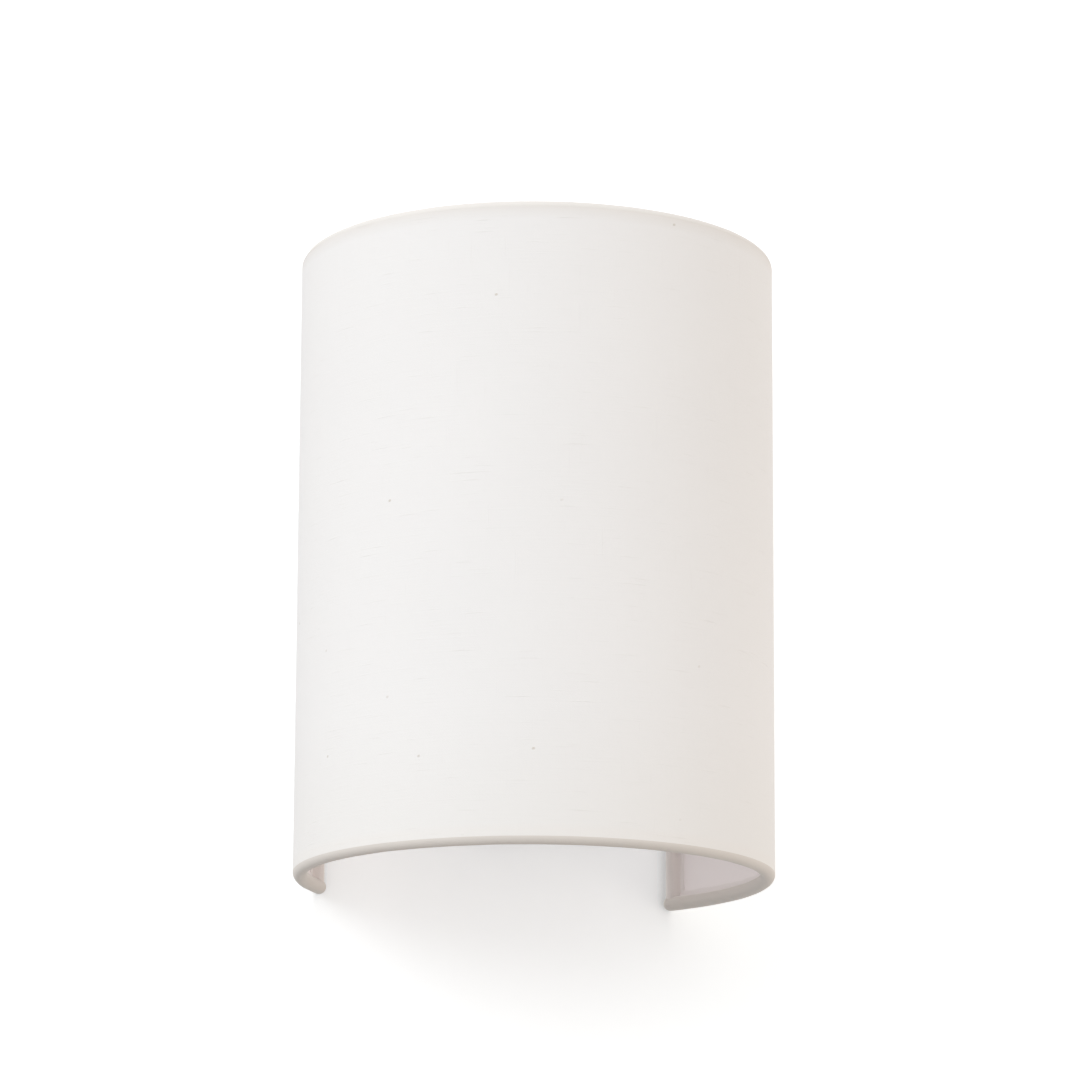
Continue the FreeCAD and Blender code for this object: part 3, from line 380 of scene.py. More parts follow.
def plated_finish(name, tone, rough=0.28):
    """Plated metal, drawn upwards, with a little cloudiness in the plating."""
    finish = Finish(name, metallic=1.0)
    point, (x, y, z) = finish.place()
    lines = finish.noise(finish.stretch(x * 2600.0, y * 2600.0, z * 90.0), 1.0)
    cloud = finish.noise(point, 160.0, 3.0)
    finish.colour(finish.mix(cloud, tone, tuple(c * 0.86 for c in tone)))
    finish.rough(rough + lines * 0.14 + cloud * 0.08)
    finish.bump(lines, 0.015 * MM, 0.5)
    return finish.material


def rubber_finish():
    finish = Finish("black_rubber", specular_ior_level=0.35)
    point, _ = finish.place()
    dust = finish.noise(point, 420.0, 4.0)
    finish.colour(finish.mix(dust, (0.020, 0.020, 0.021), (0.045, 0.044, 0.042)))
    finish.rough(0.62 + dust * 0.2)
    finish.bump(dust, 0.05 * MM, 0.4)
    return finish.material


def lead_finish(name, tone, stripe=None):
    """Smooth extruded insulation; the earth lead has a second colour along it."""
    finish = Finish(name, coat_weight=0.15, specular_ior_level=0.5)
    point, (x, y, z) = finish.place()
    haze = finish.noise(point, 300.0)
    base = finish.mix(haze, tone, tuple(c * 0.8 for c in tone))
    if stripe:
        turn = finish.wave((x * 0.8 + z * 0.6) * (2 * pi / (4.4 * MM)) + y * (2 * pi / (9 * MM)))
        side = finish.ramp(turn * 0.5 + 0.5, (0.42, 0.0), (0.58, 1.0))
        base = finish.mix(side, base, stripe)
    finish.colour(base)
    finish.rough(0.34 + haze * 0.1)
    finish.bump(haze, 0.02 * MM, 0.3)
    return finish.material


def porcelain_finish():
    finish = Finish("porcelain", coat_weight=0.25, specular_ior_level=0.5)
    point, _ = finish.place()
    grain = finish.noise(point, 1200.0, 3.0)
    cloud = finish.noise(point, 80.0)
    finish.colour(finish.mix(cloud, (0.86, 0.85, 0.82), (0.80, 0.79, 0.75)))
    finish.rough(0.30 + grain * 0.18)
    finish.bump(grain, 0.03 * MM, 0.4)
    return finish.material


def opal_finish():
    """A satin diffuser: light goes a little way in before it comes back."""
    finish = Finish("opal_diffuser", specular_ior_level=0.45, subsurface_weight=0.25,
                    subsurface_radius=(4 * MM, 4 * MM, 4 * MM))
    point, _ = finish.place()
    grain = finish.noise(point, 1500.0)
    cloud = finish.noise(point, 30.0)
    finish.colour(finish.mix(cloud, (0.93, 0.925, 0.905), (0.90, 0.895, 0.87)))
    finish.rough(0.36 + grain * 0.12)
    finish.bump(grain, 0.015 * MM, 0.4)
    return finish.material


lining_sheet = lining_finish()
white_coat = coat_finish("white_powder_coat", (0.84, 0.84, 0.83), 0.34, 700.0)
wire_coat = coat_finish("white_wire_coat", (0.82, 0.82, 0.81), 0.30, 500.0)
cover_plastic = coat_finish("cover_plastic", (0.83, 0.825, 0.80), 0.42, 1100.0)
holder_plastic = coat_finish("holder_plastic", (0.85, 0.845, 0.825), 0.24, 1300.0)
natural_plastic = coat_finish("natural_polyamide", (0.76, 0.75, 0.70), 0.30, 900.0)
bulb_plastic = coat_finish("bulb_housing_plastic", (0.86, 0.86, 0.85), 0.36, 1300.0)
black_insulator = coat_finish("black_insulator", (0.018, 0.018, 0.020), 0.16, 800.0)
zinc = plated_finish("zinc_plate", (0.66, 0.67, 0.69))
brass = plated_finish("plain_brass", (0.78, 0.58, 0.25), 0.24)
nickel = plated_finish("nickel_plate", (0.72, 0.70, 0.66), 0.20)
black_rubber = rubber_finish()
brown_lead = lead_finish("brown_lead", (0.16, 0.07, 0.035))
blue_lead = lead_finish("blue_lead", (0.035, 0.12, 0.42))
green_lead = lead_finish("green_yellow_lead", (0.06, 0.32, 0.06), (0.75, 0.62, 0.03))
porcelain = porcelain_finish()
opal = opal_finish()
print("finishes:", len(bpy.data.materials))

# %% [markdown]
# ## Dressing the solids that are already right
#
# Rigid pieces whose solid has the real form keep it, and only get their finish. Their
# edges are short, so smooth shading by angle keeps a fold crisp and a bend round.

# %% Finishes for the carried-over nodes
dressed = {
    "top_wire": wire_coat, "bottom_wire": wire_coat, "left_wire": wire_coat, "right_wire": wire_coat,
    "carrier_bar": white_coat, "wall_plate": white_coat, "hanger_studs": zinc,
    "cable_grommet": black_rubber, "shelf_grommet": black_rubber, "terminal_cover": cover_plastic,
    "terminal_block": natural_plastic, "terminal_clamps": brass,
    "earth_washer": zinc, "earth_tag": brass, "earth_wire": green_lead,
    "live_wire": brown_lead, "neutral_wire": blue_lead,
    "tooth_washer": zinc, "lock_nut": zinc, "nipple_bush": natural_plastic,
    "holder_cap": holder_plastic, "holder_skirt": holder_plastic, "holder_insert": porcelain,
    "centre_contact": brass, "contact_pillars": brass,
    "bulb_contact": brass, "bulb_insulator": black_insulator,
}
for node, material in dressed.items():
    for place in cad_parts[node].material_slots:
        place.material = material
print("dressed nodes:", len(dressed))


# %% [markdown]
# ## Making a mesh
#
# Most of what follows is a grid of points: a section carried along a path. One helper turns
# rows of points into a closed skin, smooths it, gives it its finish, puts it on the body
# that carries it and hides the solid that it stands for.

# %% Rows of points to a piece
def piece(name, mesh, material, body, stands_for=(), crisp=None):
    """Put a mesh in the scene; it shades smoothly but for edges sharper than crisp degrees."""
    made = bpy.data.objects.new(name, mesh)
    bpy.context.scene.collection.objects.link(made)
    mesh.materials.append(material)
    for polygon in mesh.polygons:
        polygon.use_smooth = True
    if crisp:
        keep_edges(mesh, crisp)
    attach(made, body)
    if stands_for:
        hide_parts(*stands_for)
    print(f"{name}: {len(mesh.polygons)} faces on {body}")
    return made


def grid_mesh(name, rows, close_rows=False, thin=False):
    """Quads between closed rows of points, and a cap at each end unless the rows close too.

    A thin row goes out along one face of a sheet and back along the other, so its cap is a
    strip of quads from face to face.
    """
    count = len(rows[0])
    points = [p for row in rows for p in row]
    last = len(points) - count
    faces = []
    for i in range(len(rows) if close_rows else len(rows) - 1):
        j = (i + 1) % len(rows)
        for k in range(count):
            m = (k + 1) % count
            faces.append((i * count + k, i * count + m, j * count + m, j * count + k))
    if thin:
        for start in (0, last):
            faces += [(start + k, start + k + 1, start + count - 2 - k, start + count - 1 - k)
                      for k in range(count // 2 - 1)]
    elif not close_rows:
        faces.append(tuple(reversed(range(count))))
        faces.append(tuple(range(last, len(points))))
    mesh = bpy.data.meshes.new(name)
    mesh.from_pydata([tuple(p) for p in points], [], faces)
    shape = bmesh.new()
    shape.from_mesh(mesh)
    bmesh.ops.recalc_face_normals(shape, faces=shape.faces)
    shape.to_mesh(mesh)
    shape.free()
    return mesh


def keep_edges(mesh, angle):
    """Mark the edges that are sharper than the angle, where smooth shading stops."""
    shape = bmesh.new()
    shape.from_mesh(mesh)
    for edge in shape.edges:
        if len(edge.link_faces) == 2:
            edge.smooth = edge.calc_face_angle(0) < radians(angle)
    shape.to_mesh(mesh)
    shape.free()


def about(axis, radius, angle, z):
    """A point at a radius and an angle round an upright axis."""
    return Vector((axis.x + radius * cos(angle), axis.y + radius * sin(angle), z))


# %% [markdown]
# ## The cotton cover
#
# The cloth is laminated flat on its lining, so it has no folds, only the slightest waviness
# where the lamination relaxed. It is a thin sheet with two faces. Its edges tuck under the
# rolls, and its long sides end at the upright wires.

# %% Cover and lining
cover_steps = 180
cover_rows = 56
ripple = 0.10 * MM
cloth_crisp = 50    # degrees


def relaxed(angle, z):
    """How far the cloth lies inside its true radius, in metres."""
    wave = noise.noise(Vector((angle * 1.7, z * 14.0, 4.2)))
    fine = noise.noise(Vector((angle * 7.0, z * 60.0, 9.1)))
    held = min(1.0, (wire_height - abs(z)) / (8 * MM))
    return ripple * held * (0.5 + 0.4 * wave + 0.12 * fine)


def drum_sheet(name, inner, outer, edge, low, high, uneven=True):
    """A thin drum segment from free edge to free edge, with both faces."""
    rows = []
    for i in range(cover_steps + 1):
        angle = -edge + 2 * edge * i / cover_steps
        row = []
        for k in range(cover_rows + 1):
            z = low + (high - low) * k / cover_rows
            row.append(on_shade(angle, outer - (relaxed(angle, z) if uneven else 0), z))
        for k in range(cover_rows, -1, -1):
            z = low + (high - low) * k / cover_rows
            row.append(on_shade(angle, inner, z))
        rows.append(row)
    return grid_mesh(name, rows, thin=True)


cover_mesh = drum_sheet("cotton_cover", skin_inner, shade_radius, free_edge, -wire_height, wire_height)
cover = piece("cotton_cover", cover_mesh, skin_cotton, "shade", ["shade_fabric"], cloth_crisp)
lining_edge = free_edge - side_roll / shade_radius
lining_mesh = drum_sheet("lining_sheet", lining_inner, skin_inner - film, lining_edge,
                         lining_low.z, lining_high.z, uneven=False)
piece("lining_sheet", lining_mesh, lining_sheet, "shade", ["shade_lining"], cloth_crisp)


# %% [markdown]
# ## Rolled edges
#
# All four edges are made alike: the cotton goes over a wire, round it and under it, and its
# last few millimetres are glued down on the lining. In section that is a hook. The stiff
# cloth doesn't follow the wire into the corner: it leaves the roll on a straight line and
# meets the lining a little further on. The hook is carried round the drum for the two hems
# and up the drum for the two side bindings. The glued edge was cut by hand, so it wanders a
# little, and the roll is not quite even.

# %% The hook-shaped section
hook_steps = 26
roll_wander = 0.09 * MM
flap_wander = 0.55 * MM
glued_share = 0.62    # of the flap's length: where the cloth meets the lining
flap_share = 0.85     # of it: past this a strip's flap lies between the hems' own
flap_lift = 0.05 * MM
cut_slant = 0.10 * MM
roll_proud = 0.05 * MM


def hook(centre, roll, wire, drop_at, seed):
    """Section points as (distance from the drum's axis, distance past the wire's centre).

    Positive distances lie past the free edge. drop_at is how far the flap reaches back.
    """
    outer = roll + roll_wander * noise.noise(Vector((seed * 0.11, 2.0, 0.0)))
    outer = min(outer, shade_radius + roll_proud - centre)
    leaves, glued = bridge(centre, outer, drop_at)
    under_in = -acos_safe((lining_inner - centre) / wire)
    points = []
    for i in range(hook_steps + 1):
        a = leaves * i / hook_steps
        points.append((centre + outer * cos(a), outer * sin(a)))
    reach = drop_at + flap_wander * (noise.noise(Vector((seed * 0.21, 5.0, 0.0))) - 0.3)
    points.append((centre + glued.x, glued.y))
    points.append((flap_inner + flap_lift, -reach))
    points.append((lining_inner - film, -reach - cut_slant))
    points.append((lining_inner - film, -drop_at * 0.55))
    for i in range(hook_steps + 1):
        a = (2 * pi + under_in) * (1 - i / hook_steps)
        points.append((centre + (wire + film) * cos(a), (wire + film) * sin(a)))
    return points


def bridge(centre, roll, drop_at):
    """The angle at which the cloth leaves the roll, and the point where it meets the lining."""
    glued = Vector((flap_inner - centre, -drop_at * glued_share))
    return 2 * pi + atan2(glued.y, glued.x) - acos_safe(roll / glued.length), glued


def acos_safe(value):
    return acos(max(-1.0, min(1.0, value)))


# %% The hems
hem_steps = 300


def hem(name, up, node):
    """The rolled cloth over a ring wire; up is 1 at the top and -1 at the bottom."""
    rows = []
    for i in range(hem_steps + 1):
        angle = -ring_end + 2 * ring_end * i / hem_steps
        section = hook(ring_centre, ring_roll, ring_wire, flap_length, i + 400 * up)
        rows.append([on_shade(angle, r, up * (wire_height + past)) for r, past in section])
    mesh = grid_mesh(name, rows, thin=True)
    return piece(name, mesh, rolled_cotton, "shade", [node], cloth_crisp)


top_roll = hem("top_rolled_hem", 1, "top_hem")
bottom_roll = hem("bottom_rolled_hem", -1, "bottom_hem")

# %% [markdown]
# ### The tucked ends
#
# At each end of a hem the cloth is pushed in round the wire's end, which leaves a small
# rounded knob. It is a squashed ball with a dimple and creases that run into it.

# %% Knobs at the four corners
knob_rings = 14
knob_spokes = 36
crease_count = 7
crease_depth = 0.05   # of the roll's radius
tuck_depth = 0.55 * MM
tuck_radius = 0.9 * MM


def knob(name, side, up):
    """A domed end whose creases gather towards a tuck in its middle."""
    end = side * ring_end
    centre = on_shade(end, ring_centre, up * wire_height)
    outward = Vector((cos(end), sin(end), 0)) * side
    radial = Vector((sin(end), -cos(end), 0))
    upward = Vector((0, 0, 1))
    rows = []
    for i in range(knob_rings + 1):
        t = i / knob_rings * pi / 2
        row = []
        for k in range(knob_spokes):
            a = 2 * pi * k / knob_spokes
            fold = 0.5 + 0.5 * cos(crease_count * a + 0.8 * side * up)
            crease = 1 - crease_depth * sin(t) * fold * (1 - i / knob_rings * 0.4)
            r = max(ring_roll * cos(t) * crease, 0.04 * MM)
            lift = ring_roll * 0.92 * sin(t) - tuck_depth * max(0.0, 1 - r / tuck_radius)
            row.append(centre + radial * (r * cos(a)) + upward * (r * sin(a)) + outward * lift)
        rows.append(row)
    return piece(name, grid_mesh(name, rows), rolled_cotton, "shade")


for side, left_or_right in ((-1, "left"), (1, "right")):
    for up, level in ((-1, "bottom"), (1, "top")):
        knob(f"{level}_{left_or_right}_tucked_end", side, up)

# %% [markdown]
# ### The side bindings
#
# The upright strips are glued last. They butt on the hems, above and below, so their ends
# follow the rolls' roundness a hair clear of them, and each flap stops at the hem's own.

# %% Bindings up the free edges
binding_steps = 150
butt_gap = 0.08 * MM
flap_gap = 0.15 * MM


def binding(name, side, node):
    """The rolled cloth over a side wire; side is 1 at the right and -1 at the left."""
    rows = []
    for i in range(binding_steps + 1):
        z = (wire_height - 0.2 * MM) * (2 * i / binding_steps - 1)
        section = hook(side_centre, side_roll, side_wire, flap_length, i * 2.3 + 90 * side)
        from_end = wire_height - abs(z)
        row = []
        for r, past in section:
            height = z
            on_flap = past < -flap_share * flap_length
            limit = flap_length + flap_gap if on_flap else end_gap(r)
            if from_end < limit:
                height = (wire_height - limit) * (1 if z > 0 else -1)
            row.append(round_edge(side, r, past, height))
        rows.append(row)
    mesh = grid_mesh(name, rows, thin=True)
    return piece(name, mesh, strip_cotton, "shade", [node], cloth_crisp)


def end_gap(r):
    """How far a binding stops short of the hem wire's height, to lie on the hem's own surface."""
    leaves, glued = bridge(ring_centre, ring_roll, flap_length)
    off = r - ring_centre
    touch = ring_roll * cos(leaves)
    if touch < off < glued.x + 0.01 * MM:
        share = (off - touch) / (glued.x - touch)
        return butt_gap - (1 - share) * ring_roll * sin(leaves) - share * glued.y
    across = min(abs(off), ring_roll * 0.999)
    return sqrt(ring_roll ** 2 - across ** 2) + butt_gap


def round_edge(side, r, past, z):
    """A section point of a binding: its roll lies in a flat section, its flap on the drum."""
    if past < -side_roll * 0.9:
        return mirror_side(on_shade(free_edge + past / r, r, z), side)
    base = on_shade(free_edge, r, z)
    along = Vector((cos(free_edge), sin(free_edge), 0))
    return mirror_side(base + along * past, side)


def mirror_side(point, side):
    return Vector((point.x * side, point.y, point.z))


right_edge = binding("right_edge_binding", 1, "right_binding")
left_edge = binding("left_edge_binding", -1, "left_binding")

# %% [markdown]
# ### What the cotton was cut to
#
# The cover was cut as one rectangle: as wide as the drum's arc and as tall as the straight
# part. The strips that roll over the wires are their own pieces.

# %% [markdown]
# ## Screw-base threads
#
# The lamp's thread is a knuckle thread: in section it is one smooth wave, with no flat and
# no sharp edge. A circle whose centre is a little off the axis, turned as it climbs, draws
# exactly that wave. The cap and the shell in the holder share it, a fit apart, so the bulb
# can be turned out at one pitch for each turn without the two ever crossing.

# %% The knuckle thread
lamp_low, lamp_high = box_of("bulb_cap")
shell_low, shell_high = box_of("screw_shell")
lamp_axis = Vector(((lamp_low.x + lamp_high.x) / 2, (lamp_low.y + lamp_high.y) / 2, 0))
thread_pitch = 3.629 * MM
thread_wave = 0.45 * MM
cap_radius = (lamp_high.x - lamp_low.x) / 2
shell_radius = (shell_high.x - shell_low.x) / 2
cap_sheet = 0.35 * MM
shell_plain = 1.2 * MM    # unthreaded at the shell's top
cap_lead = 1.6 * MM       # and at the cap's bottom
cap_plain = 2.6 * MM      # and at its top
thread_steps = 72
rows_per_turn = 16


def threaded_sleeve(name, mean, low, high, start, stop, sheet):
    """A thin sleeve whose wall waves with the thread between start and stop."""
    rings = ceil((high - low) / thread_pitch * rows_per_turn)

    def ring(z, radius):
        fade = max(0.0, min(1.0, (z - start) / (0.6 * thread_pitch), (stop - z) / (0.6 * thread_pitch)))
        row = []
        for k in range(thread_steps):
            a = 2 * pi * k / thread_steps
            r = radius + thread_wave * fade * cos(2 * pi * z / thread_pitch - a)
            row.append(about(lamp_axis, r, a, z))
        return row

    heights = [low + (high - low) * i / rings for i in range(rings + 1)]
    rows = [ring(z, mean) for z in heights] + [ring(z, mean - sheet) for z in reversed(heights)]
    return grid_mesh(name, rows, close_rows=True)


shell_mean = shell_radius - thread_wave - film
shell_mesh = threaded_sleeve("threaded_shell", shell_mean, shell_low.z, shell_high.z,
                             shell_low.z, shell_high.z - shell_plain, cap_sheet)
piece("threaded_shell", shell_mesh, brass, "bracket", ["screw_shell"])
cap_mean = cap_radius - thread_wave
cap_mesh = threaded_sleeve("threaded_cap", cap_mean, lamp_low.z, lamp_high.z,
                           lamp_low.z + cap_lead, lamp_high.z - cap_plain, cap_sheet)
piece("threaded_cap", cap_mesh, nickel, "bulb", ["bulb_cap"])

# %% [markdown]
# ## The bulb
#
# The housing is a moulded cone that swells to the diffuser's width, with a fine step where
# the two meet and shallow flutes that pass the heat. The diffuser is a satin dome. Both are
# turned shapes, so a lathe with a few named radii is the plain way to make them.

# %% Housing and diffuser
body_low, body_high = box_of("bulb_body")
globe_low, globe_high = box_of("bulb_diffuser")
neck_z = lamp_high.z
rim_z = body_high.z
neck_radius = 14.6 * MM
rim_radius = (body_high.x - body_low.x) / 2
globe_radius = (globe_high.x - globe_low.x) / 2
flute_count = 24
flute_depth = 0.45 * MM
rim_step = 0.5 * MM
lip_inset = 0.9 * MM
lip_bevel = 0.25 * MM
lip_rise = 0.35 * MM
housing_rings = 34
housing_spokes = 144
flank_steps = 6
crown_steps = 22


def swell(t):
    """The housing's radius from neck to rim, as t goes from 0 to 1."""
    ease = t * t * (3 - 2 * t)
    return neck_radius + (rim_radius - neck_radius) * (0.35 * t + 0.65 * ease)


def housing_mesh():
    """A swelling cone, fluted between its neck and its rim."""
    rows = []
    for i in range(housing_rings + 1):
        t = i / housing_rings
        z = neck_z + (rim_z - neck_z) * t
        fluted = max(0.0, min(1.0, (t - 0.14) / 0.1, (0.82 - t) / 0.1))
        row = []
        for k in range(housing_spokes):
            a = 2 * pi * k / housing_spokes
            groove = flute_depth * fluted * (0.5 - 0.5 * cos(a * flute_count)) ** 3
            step = rim_step if t > 0.97 else 0.0
            r = swell(t) - groove - step
            row.append(about(lamp_axis, r, a, z))
        rows.append(row)
    return grid_mesh("bulb_housing", rows)


piece("bulb_housing", housing_mesh(), bulb_plastic, "bulb", ["bulb_body"])


def globe_outline():
    """The dome's outline as (radius, height): a bevelled lip, a flank and a round crown."""
    centre = globe_high.z - globe_radius
    outline = [(0.0, globe_low.z)]
    outline.append((rim_radius - lip_inset, globe_low.z))
    outline.append((rim_radius - lip_bevel, globe_low.z + lip_rise))
    for i in range(1, flank_steps + 1):
        t = i / flank_steps
        outline.append((rim_radius + (globe_radius - rim_radius) * sin(t * pi / 2),
                        globe_low.z + (centre - globe_low.z) * t))
    for i in range(1, crown_steps + 1):
        a = pi / 2 * i / crown_steps
        outline.append((globe_radius * cos(a), centre + globe_radius * sin(a)))
    return outline


def solid_lathe(name, outline, steps=96):
    """An outline of (radius, height) turned round the lamp's axis, on which it starts and ends."""
    rows = []
    for i in range(steps):
        rows.append([about(lamp_axis, r, 2 * pi * i / steps, z) for r, z in outline])
    mesh = grid_mesh(name, rows, close_rows=True)
    shape = bmesh.new()
    shape.from_mesh(mesh)
    bmesh.ops.remove_doubles(shape, verts=shape.verts, dist=1e-6)
    bmesh.ops.dissolve_degenerate(shape, edges=shape.edges, dist=1e-7)
    bmesh.ops.recalc_face_normals(shape, faces=shape.faces)
    shape.to_mesh(mesh)
    shape.free()
    return mesh


piece("opal_dome", solid_lathe("opal_dome", globe_outline()), opal, "bulb", ["bulb_diffuser"])

# %% [markdown]
# ## Threads and driven heads
#
# Small fasteners come from the construction as plain rods and discs. Here each gets what
# makes it read as a screw: a helical thread on its shank and a cross or slot in its head.

# %% A threaded rod
def thread_mesh(name, start, end, radius, bore, pitch, depth, steps=40, rows_each=8):
    """A helical thread between two points, over a bore that may be zero."""
    run = end - start
    along = run.normalized()
    across = along.orthogonal().normalized()
    other = along.cross(across)
    turns = run.length / pitch
    count = ceil(turns * rows_each)
    rows = []
    for i in range(count + 1):
        h = run.length * i / count
        edge = min(h, run.length - h)
        row = []
        for k in range(steps):
            a = 2 * pi * k / steps
            tooth = abs(((h / pitch - a / (2 * pi)) % 1.0) * 2 - 1)
            r = radius - depth * max(0.0, 1 - tooth * 1.15)
            if edge < pitch * 0.8:
                r = min(r, radius - depth * (1 - edge / (pitch * 0.8)))
            row.append(start + along * h + across * (r * cos(a)) + other * (r * sin(a)))
        rows.append(row)
    if bore:
        inside = []
        for h in (run.length, 0.0):
            inside.append([start + along * h + across * (bore * cos(2 * pi * k / steps))
                           + other * (bore * sin(2 * pi * k / steps)) for k in range(steps)])
        return grid_mesh(name, rows + inside, close_rows=True)
    return grid_mesh(name, rows)


nipple_low, nipple_high = box_of("threaded_nipple")
nipple_radius = (nipple_high.x - nipple_low.x) / 2
nipple_bore = 3.9 * MM
nipple_pitch = 1.0 * MM
nipple_depth = 0.5 * MM
nipple_foot, nipple_tip = (Vector((0, lamp_axis.y, end.z)) for end in (nipple_low, nipple_high))
nipple_mesh = thread_mesh("nipple_thread", nipple_foot, nipple_tip, nipple_radius, nipple_bore,
                          nipple_pitch, nipple_depth)
piece("nipple_thread", nipple_mesh, zinc, "bracket", ["threaded_nipple"], crisp=60)


# %% Driven heads
def solids_of(node):
    """The separate solids of a node, as boxes of their own."""
    shape = bmesh.new()
    shape.from_mesh(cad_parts[node].data)
    bmesh.ops.remove_doubles(shape, verts=shape.verts, dist=1e-7)
    left = set(shape.verts)
    boxes = []
    while left:
        stack = [left.pop()]
        found = []
        while stack:
            vert = stack.pop()
            found.append(vert.co.copy())
            for edge in vert.link_edges:
                near = edge.other_vert(vert)
                if near in left:
                    left.remove(near)
                    stack.append(near)
        low = Vector([min(v[i] for v in found) for i in range(3)])
        high = Vector([max(v[i] for v in found) for i in range(3)])
        boxes.append((low, high))
    shape.free()
    return sorted(boxes, key=lambda b: (round(b[0].x, 5), round(b[0].z, 5)))


screw_spokes = 64
thread_rows = 6
head_rings = 14


def screw_mesh(name, head_at, out, head_radius, head_height, shank_radius, shank_length, drive):
    """A pan head with its drive cut in, and a threaded shank behind it.

    head_at is the middle of the head's seat and out points away from the work.
    """
    across = out.orthogonal().normalized()
    other = out.cross(across)
    rows = []

    def ring(radius, height, dip=0.0):
        row = []
        for k in range(screw_spokes):
            a = 2 * pi * k / screw_spokes
            x, y = radius * cos(a), radius * sin(a)
            drop = dip * cut(x, y)
            row.append(head_at + across * x + other * y + out * (height - drop))
        return row

    def cut(x, y):
        width = head_radius * 0.16
        reach = head_radius * (0.62 if drive == "cross" else 1.2)
        one = soft(abs(x), width) * soft(abs(y), reach)
        two = soft(abs(y), width) * soft(abs(x), reach) if drive == "cross" else 0.0
        return max(one, two)

    def soft(value, edge):
        return max(0.0, min(1.0, (edge - value) / (head_radius * 0.05) + 0.5))

    turns = max(1, ceil(shank_length / (shank_radius * 0.55)))
    tip = turns * thread_rows
    for i in range(tip, -1, -1):
        h = -shank_length * i / tip
        taper = 1.0 if i < tip - 4 else 0.6 + 0.1 * (tip - i)
        row = []
        for k in range(screw_spokes):
            a = 2 * pi * k / screw_spokes
            tooth = abs(((h / (shank_length / turns) - a / (2 * pi)) % 1.0) * 2 - 1)
            r = shank_radius * taper * (1 - 0.2 * max(0.0, 1 - tooth * 1.1))
            row.append(head_at + across * (r * cos(a)) + other * (r * sin(a)) + out * h)
        rows.append(row)
    rows.append(ring(head_radius * 0.94, 0.0))
    rows.append(ring(head_radius, head_height * 0.12))
    rows.append(ring(head_radius * 0.98, head_height * 0.45))
    for i in range(head_rings):
        t = i / (head_rings - 1)
        radius = head_radius * 0.93 * (1 - t) + 0.02 * MM
        rise = head_height * (1 - 0.28 * (radius / head_radius) ** 2)
        rows.append(ring(radius, rise, head_height * 0.55))
    return grid_mesh(name, rows)


def dress_screws(node, name, out_axis, head, drive, material, shank):
    """Replace a node's plain screws.

    head is the head's share of each one's length, and shank the shank's of its radius.
    """
    out = Vector(out_axis)
    axis = [abs(c) for c in out_axis].index(1)
    sides = [i for i in range(3) if i != axis]
    for i, (low, high) in enumerate(solids_of(node)):
        direction = out if axis != 0 else Vector((1 if (low.x + high.x) > 0 else -1, 0, 0))
        middle = (low + high) / 2
        length = high[axis] - low[axis]
        head_height = length * head
        front = high[axis] if direction[axis] > 0 else low[axis]
        seat = middle.copy()
        seat[axis] = front - direction[axis] * head_height
        radius = (high[sides[0]] - low[sides[0]]) / 2
        mesh = screw_mesh(f"{name}_{i + 1}", seat, direction, radius, head_height, radius * shank,
                          length - head_height, drive)
        piece(mesh.name, mesh, material, "bracket", [node] if i == 0 else (), crisp=38)


forward = (0, -1, 0)
sideways = (1, 0, 0)
dress_screws("cover_screws", "cover_screw", forward, 1.8 / 5.5, "cross", zinc, shank=0.52)
dress_screws("block_screw", "block_screw", forward, 1.4 / 5.5, "cross", zinc, shank=0.62)
dress_screws("earth_screw", "earth_screw", forward, 2.6 / 5.7, "slot", brass, shank=0.51)
dress_screws("terminal_screws", "terminal_screw", forward, 0.16, "slot", zinc, shank=0.96)
dress_screws("contact_screws", "contact_screw", sideways, 1.4 / 2.9, "slot", zinc, shank=0.63)

# %% [markdown]
# ## Wall, floor and light
#
# The light hangs on a pale wall, which takes its soft shadow. Seen from behind, the wall
# would hide the object, and for light that bounces it would keep the bracket's back dark.
# So the wall shows only to the camera and only on its front, and the world, which is as
# pale, gives the object the light that the wall would give back. Metal and glass show the
# same white: rays that they reflect or pass on see the floor and the world's pale backdrop.
# Between the shade's side edges the wall darkens near each of them, since light that
# bounces doesn't carry that close shadow here.

# %% Wall and floor
wall_tone = (0.908, 0.935, 0.945)
wall_glow = 0.29
wall_gap = 0.4 * MM
contact_reach = 20 * MM
stage_reach = 40.0
floor_z = -1.35


def stage_finish(name, tone, one_sided):
    """A pale surface that gives no light back; its glow lifts it to white outside the shadow."""
    finish = Finish(name, roughness=0.95, specular_ior_level=0.0, emission_strength=wall_glow,
                    emission_color=(1.0, 1.0, 1.0))
    point, (x, _, _) = finish.place()
    cloud = finish.noise(point, 3.0)
    tone = finish.mix(cloud, tone, tuple(c * 0.995 for c in tone))
    if one_sided:
        openness = finish.node("AmbientOcclusion", {"Distance": contact_reach}, out="AO")
        inward = side_high.x - finish.node("Math", {0: x}, operation="ABSOLUTE")
        between = finish.ramp(inward / side_roll, (0.3, 0.0), (1.0, 1.0))
        close = finish.ramp(openness, (0.5, 0.35), (0.8, 0.88), (1.0, 1.0))
        tone = finish.mix(between, tone, close, "MULTIPLY")
        seen = finish.seen_by("Camera") * (1 - finish.node("NewGeometry", out="Backfacing"))
    else:
        seen = finish.seen_by("Camera", "Glossy", "Transmission")
    finish.colour(tone)
    clear = finish.node("BsdfTransparent")
    shown = finish.node("MixShader", {0: seen, 1: clear, 2: finish.shader})
    finish.feed(finish.output, "Surface", shown)
    return finish.material


def stage_plane(name, corners, material):
    mesh = bpy.data.meshes.new(name)
    mesh.from_pydata(corners, [], [(0, 1, 2, 3)])
    mesh.materials.append(material)
    made = bpy.data.objects.new(name, mesh)
    bpy.context.scene.collection.objects.link(made)
    return made


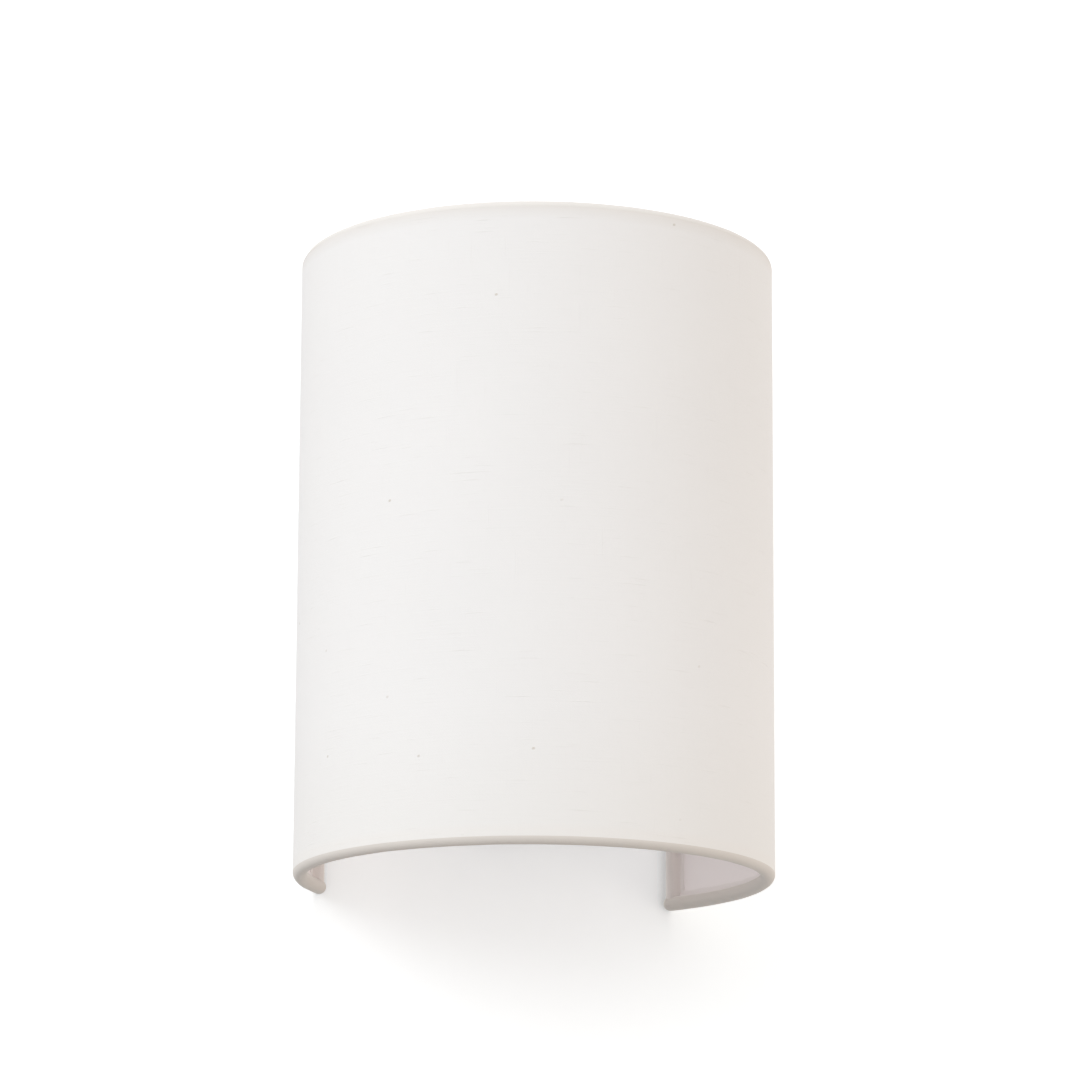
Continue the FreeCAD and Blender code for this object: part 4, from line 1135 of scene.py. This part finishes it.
far = stage_reach
wall_corners = [(-far, wall_gap, floor_z), (far, wall_gap, floor_z),
                (far, wall_gap, far), (-far, wall_gap, far)]
floor_corners = [(-far, -far, floor_z), (far, -far, floor_z), (far, far, floor_z), (-far, far, floor_z)]
wall = stage_plane("wall", wall_corners, stage_finish("pale_wall", wall_tone, True))
stage_plane("floor", floor_corners, stage_finish("pale_floor", wall_tone, False))
print("wall faces", [round(c, 2) for c in wall.data.polygons[0].normal])

# %% [markdown]
# ### The room's light
#
# The world is a gradient: brightest overhead, half as bright below, as in a room with a pale
# ceiling. Its right side is a little warmer, which the drum's right flank picks up. The
# camera, reflections and glass see plain white instead.

# %% The world
world_low = (0.450, 0.436, 0.430)
world_mid = (0.915, 0.910, 0.908)
world_high = (1.03, 1.03, 1.035)
right_tint = (0.99, 0.945, 0.895)
world = bpy.data.worlds.new("soft_room")
bpy.context.scene.world = world
room = Recipe(world)
aside, _, upward = room.parts(room.node("TexCoord", out="Generated"))
by_height = room.ramp(upward * 0.5 + 0.5, (0.20, world_low), (0.55, world_mid), (0.95, world_high))
by_side = room.ramp(aside * 0.5 + 0.5, (0.55, (1.0, 1.0, 1.0)), (0.95, right_tint))
air = room.node("Background", {"Color": room.mix(1.0, by_height, by_side, "MULTIPLY")})
backdrop = room.node("Background", {"Color": (1.0, 1.0, 1.0)})
white_for = room.seen_by("Camera", "Glossy", "Transmission")
room.node("OutputWorld", {"Surface": room.node("MixShader", {0: white_for, 1: air, 2: backdrop})})
print("world nodes:", len(world.node_tree.nodes))


# %% [markdown]
# ### Three soft lamps
#
# One broad window-like lamp at the left front models the drum from light to half-tone. A
# weak warm one, low on the right, reaches in under the drum. Another behind and above gives
# the bracket's back an edge when it is seen from there.

# %% Lamps
def lamp(name, place, size, power, tint):
    light = bpy.data.lights.new(name, "AREA")
    light.shape = "DISK"
    light.size = size
    light.energy = power
    light.color = tint
    made = bpy.data.objects.new(name, light)
    made.location = place
    made.rotation_euler = (middle_of_shade - Vector(place)).to_track_quat("-Z", "Y").to_euler()
    bpy.context.scene.collection.objects.link(made)


middle_of_shade = Vector((0, shade_y, 0))
lamp("window_light", (-2.6, -1.75, 0.9), 1.6, 33.0, (0.955, 0.98, 1.0))
lamp("warm_side", (2.4, -1.0, -1.1), 1.8, 14.5, (1.0, 0.88, 0.78))
lamp("back_light", (1.2, 1.9, 1.2), 1.4, 7.0, (1.0, 1.0, 1.0))
print("lamps:", len(bpy.data.lights))

# %% [markdown]
# ## The camera
#
# The photograph was taken from below and from a little to the left, with a long lens: the
# drum's sides lean in only slightly. The camera stands as many shade radii away as that
# lean asks for and looks up at the shade.

# %% Camera
camera_distance = 20.84 * shade_radius
camera_drop = 3.264 * shade_radius
camera_turn = radians(-15.9)
camera_pitch = radians(12.76)
camera_yaw = radians(-0.05)
camera_roll = radians(0.288)
image_width = 1080
focal_pixels = 5075.0
sensor_width = 36.0

camera_data = bpy.data.cameras.new("camera")
camera = bpy.data.objects.new("camera", camera_data)
bpy.context.scene.collection.objects.link(camera)
bpy.context.scene.camera = camera
camera_data.sensor_width = sensor_width
camera_data.lens = focal_pixels / image_width * sensor_width
stand = Vector((sin(camera_turn) * camera_distance, shade_y - cos(camera_turn) * camera_distance,
                -(wire_height + ring_roll) - camera_drop))
turn = Matrix.Rotation(camera_turn + camera_yaw, 4, "Z")
tilt = Matrix.Rotation(pi / 2 + camera_pitch, 4, "X")
lean = Matrix.Rotation(camera_roll, 4, "Z")
camera.matrix_world = Matrix.Translation(stand) @ turn @ tilt @ lean
bpy.context.scene.view_settings.view_transform = "Standard"
print("camera at", [round(c, 3) for c in stand], "lens", round(camera_data.lens, 1), "mm")
